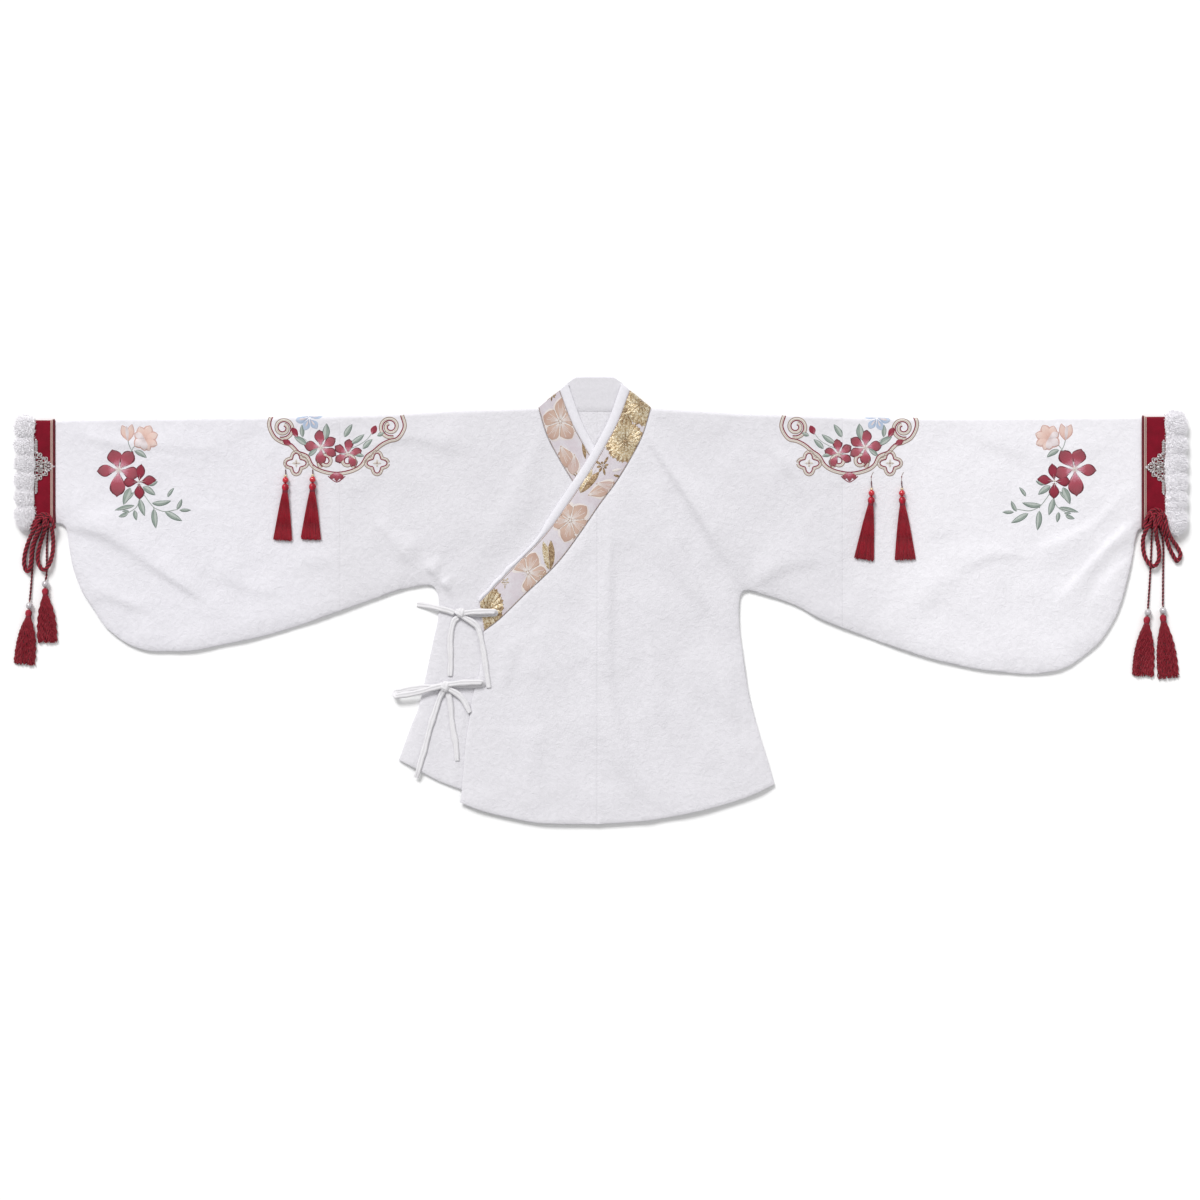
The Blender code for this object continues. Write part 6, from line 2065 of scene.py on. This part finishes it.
def make_brocade_motifs():
    """Woven flowers on the collar, each clipped by the band's edges."""
    front = Band(COLLAR_ROWS[:FRONT_ROWS + 1])
    under = Band(COLLAR_ROWS[::-1][:len(DENSE_RUN) + FOLD_STEPS])
    motifs = (  # band, x, y, then for each form there what draws it and its values
        (front, -176, -14, (chrysanthemum, 0, 0, 10, 34, 20), (sprig, 44, 22, 20, 9, GOLD_WOVEN)),
        (front, -112, 42, (woven_flower, 0, 0, 64, 31, (0, 1, 3, 4)),
         (sprig, 22, -4, 40, 8, GOLD_WOVEN)),
        (front, -79, 66, (split_leaf, 0, -18, 92, 42, 26)),
        (front, -47, 122, (woven_flower, 0, 0, 40, 32)),
        (front, -2, 168, (woven_petal, -20, -10, 24, 36, 27),
         (woven_petal, -10, 12, -12, 36, 25, ROSE_WOVEN)),
        (front, -24, 182, (split_leaf, -6, -18, 62, 42, 24)),
        (front, 3, 206, (sprig, 0, 0, 12, 17)),
        (front, 25, 198, (Sketch.petal, -8, 0, 10, 15, 5, CREAM_WOVEN, 0.9, 0.25),
         (Sketch.petal, -6, -6, -14, 12, 4, BRONZE_WOVEN, 0.9, 0.25)),
        (front, 37, 243, (chrysanthemum, 0, 0, 0, 33, 24)),
        (front, 58, 292, (chrysanthemum, 6, 8, 20, 34, 22), (chrysanthemum, -22, 0, 40, 20, 14)),
        (under, -62, 274, (woven_flower, 0, 0, 22, 31)),
        (under, -52, 222, (woven_petal, -12, 18, -64, 40, 29),
         (woven_petal, 12, 6, -96, 34, 24, ROSE_WOVEN)),
        (under, -24, 232, (split_leaf, -4, 14, -72, 30, 12)),
        (under, -72, 310, (sprig, 0, 0, 20, 12)),
        (under, -36, 190, (sprig, 0, 0, 20, 9)),
    )
    for k, (band, x, y, *forms) in enumerate(motifs):
        sketch = Sketch((x, y))
        for draw, *values in forms:
            draw(sketch, *values)
        sketch.laid(f"collar_motif_{k:02d}", WOVEN_KINDS, band.mapping(x, y))
    # Thin bronze lines along both edges of the band: partly a woven edge line and partly painted shadow
    # at the band's edges.
    shape = Shape()
    for band in (front, under):
        s = np.arange(1.0, band.along[-1] - 1.0, 2.5)
        width = np.interp(s, band.along, np.linalg.norm(band.edge - band.seam, axis=1))
        for w in (np.full(len(s), 1.1), width - 1.1):
            shape.tube(band.at(s, w, -0.12), 0.38, 5)
    shape.object("collar_edge_lines", [WOVEN_KINDS[BRONZE_WOVEN]])


# Lace points on the cuff bands

def make_lace():
    for name, sleeve_x, band_x, fur_x, low, high, piping_x in CUFFS:
        outwards = math.copysign(1.0, band_x)
        base_z = FLAT_TOP + 0.9
        middle = (low + high) / 2 + 8.0
        shape = Shape()

        def at(across, along, lift=0.0):
            """A place on the band: across it from the fur towards the sleeve, and along the cuff."""
            return (band_x - outwards * (2.0 + across), middle + along, base_z + lift)

        def wire(route, radius=0.42, lift=0.0):
            path = catmull([at(a, b, lift) for a, b in route], 0.8)
            shape.add(*tube(path, radius, 6)[:2], 0, tube(path, radius, 6)[2])

        def bead(across, along, radius=1.05, number=1):
            ball(shape, at(across, along, 0.3), (radius, radius, radius * 0.8), 10, 6, number)

        for a, b, angle, length, wide in (
                (15, 0, 0, 11, 8), (11, 7, 38, 10, 6), (11, -7, -38, 10, 6), (5, 12, 62, 9, 6),
                (5, -12, -62, 9, 6), (3, 5, 12, 8, 6), (3, -5, -12, 8, 6)):
            turn = math.radians(angle)
            loop = []
            for t in np.linspace(0, 2 * math.pi, 15):
                u = length * (0.5 - 0.5 * math.cos(t))
                v = wide / 2 * math.sin(t)
                loop.append((a + u * math.cos(turn) - v * math.sin(turn),
                             b + u * math.sin(turn) + v * math.cos(turn)))
            wire(loop, 0.85)
        for scale, radius in ((1.0, 0.9),):
            for side in (-1, 1):
                edge = []
                for t in np.linspace(0, 1, 41):
                    bump = 1.5 * scale * abs(math.sin(5 * math.pi * t))
                    edge.append((1.0 + 24.5 * scale * t + bump * 0.64,
                                 side * (20.0 * scale * (1 - t) + bump * 0.77)))
                wire(edge, radius, 0.25 * (scale < 1.0))
        for k in range(8):
            turn = math.pi * k / 4
            length = 7.4 if k % 2 == 0 else 5.6
            petal = []
            for t in np.linspace(0, 2 * math.pi, 15):
                u = 2.0 + length * (0.5 - 0.5 * math.cos(t))
                v = 1.7 * math.sin(t)
                petal.append((10.0 + u * math.cos(turn) - v * math.sin(turn),
                              u * math.sin(turn) + v * math.cos(turn)))
            wire(petal, 0.75, 0.35)
        bead(10.0, 0.0, 2.2)
        for t in np.linspace(0.06, 0.94, 9):
            for side in (-1, 1):
                bead(2.5 + 26.5 * t, side * 22.4 * (1 - t), 1.5)
        for a, b in ((29.0, 0.0), (3.4, 13.0), (3.4, -13.0), (17.0, 6.2), (17.0, -6.2), (21.5, 0.0),
                     (3.4, 6.4), (3.4, -6.4)):
            bead(a, b, 1.8)
        wire([(1.0, t) for t in np.linspace(-37, 37, 18)], 0.6)
        for side in (-1, 1):
            for along in np.linspace(22, 38, 5):
                ring = [(1.9 + 1.9 * math.cos(t), side * along + 1.9 * math.sin(t))
                        for t in np.linspace(0, 2 * math.pi, 11)]
                wire(ring, 0.6, 0.15)
                bead(1.9, side * along, 1.4)
            bead(1.4, side * 41.0, 1.5)
        shape.object(f"cuff_{name}_filigree", [lace_thread, pearl_white], [f"cuff_{name}_lace"])


make_stage()
make_cuff_cords()
make_ties()
make_cloth()
make_collar()
make_cuff_bands()
make_beads()
make_lace()
make_spray("embroidery_cuff_right", -739.0, 200.0, False, 0.0)
make_spray("embroidery_cuff_left", 726.0, 201.0, True, -4.0)
make_medallion("embroidery_shoulder_right", -405.0, False, ((-483.0, 200.0), (-441.5, 200.0)))
make_medallion("embroidery_shoulder_left", 381.0, True, ((461.0, 183.0), (414.5, 183.0)))
make_brocade_motifs()
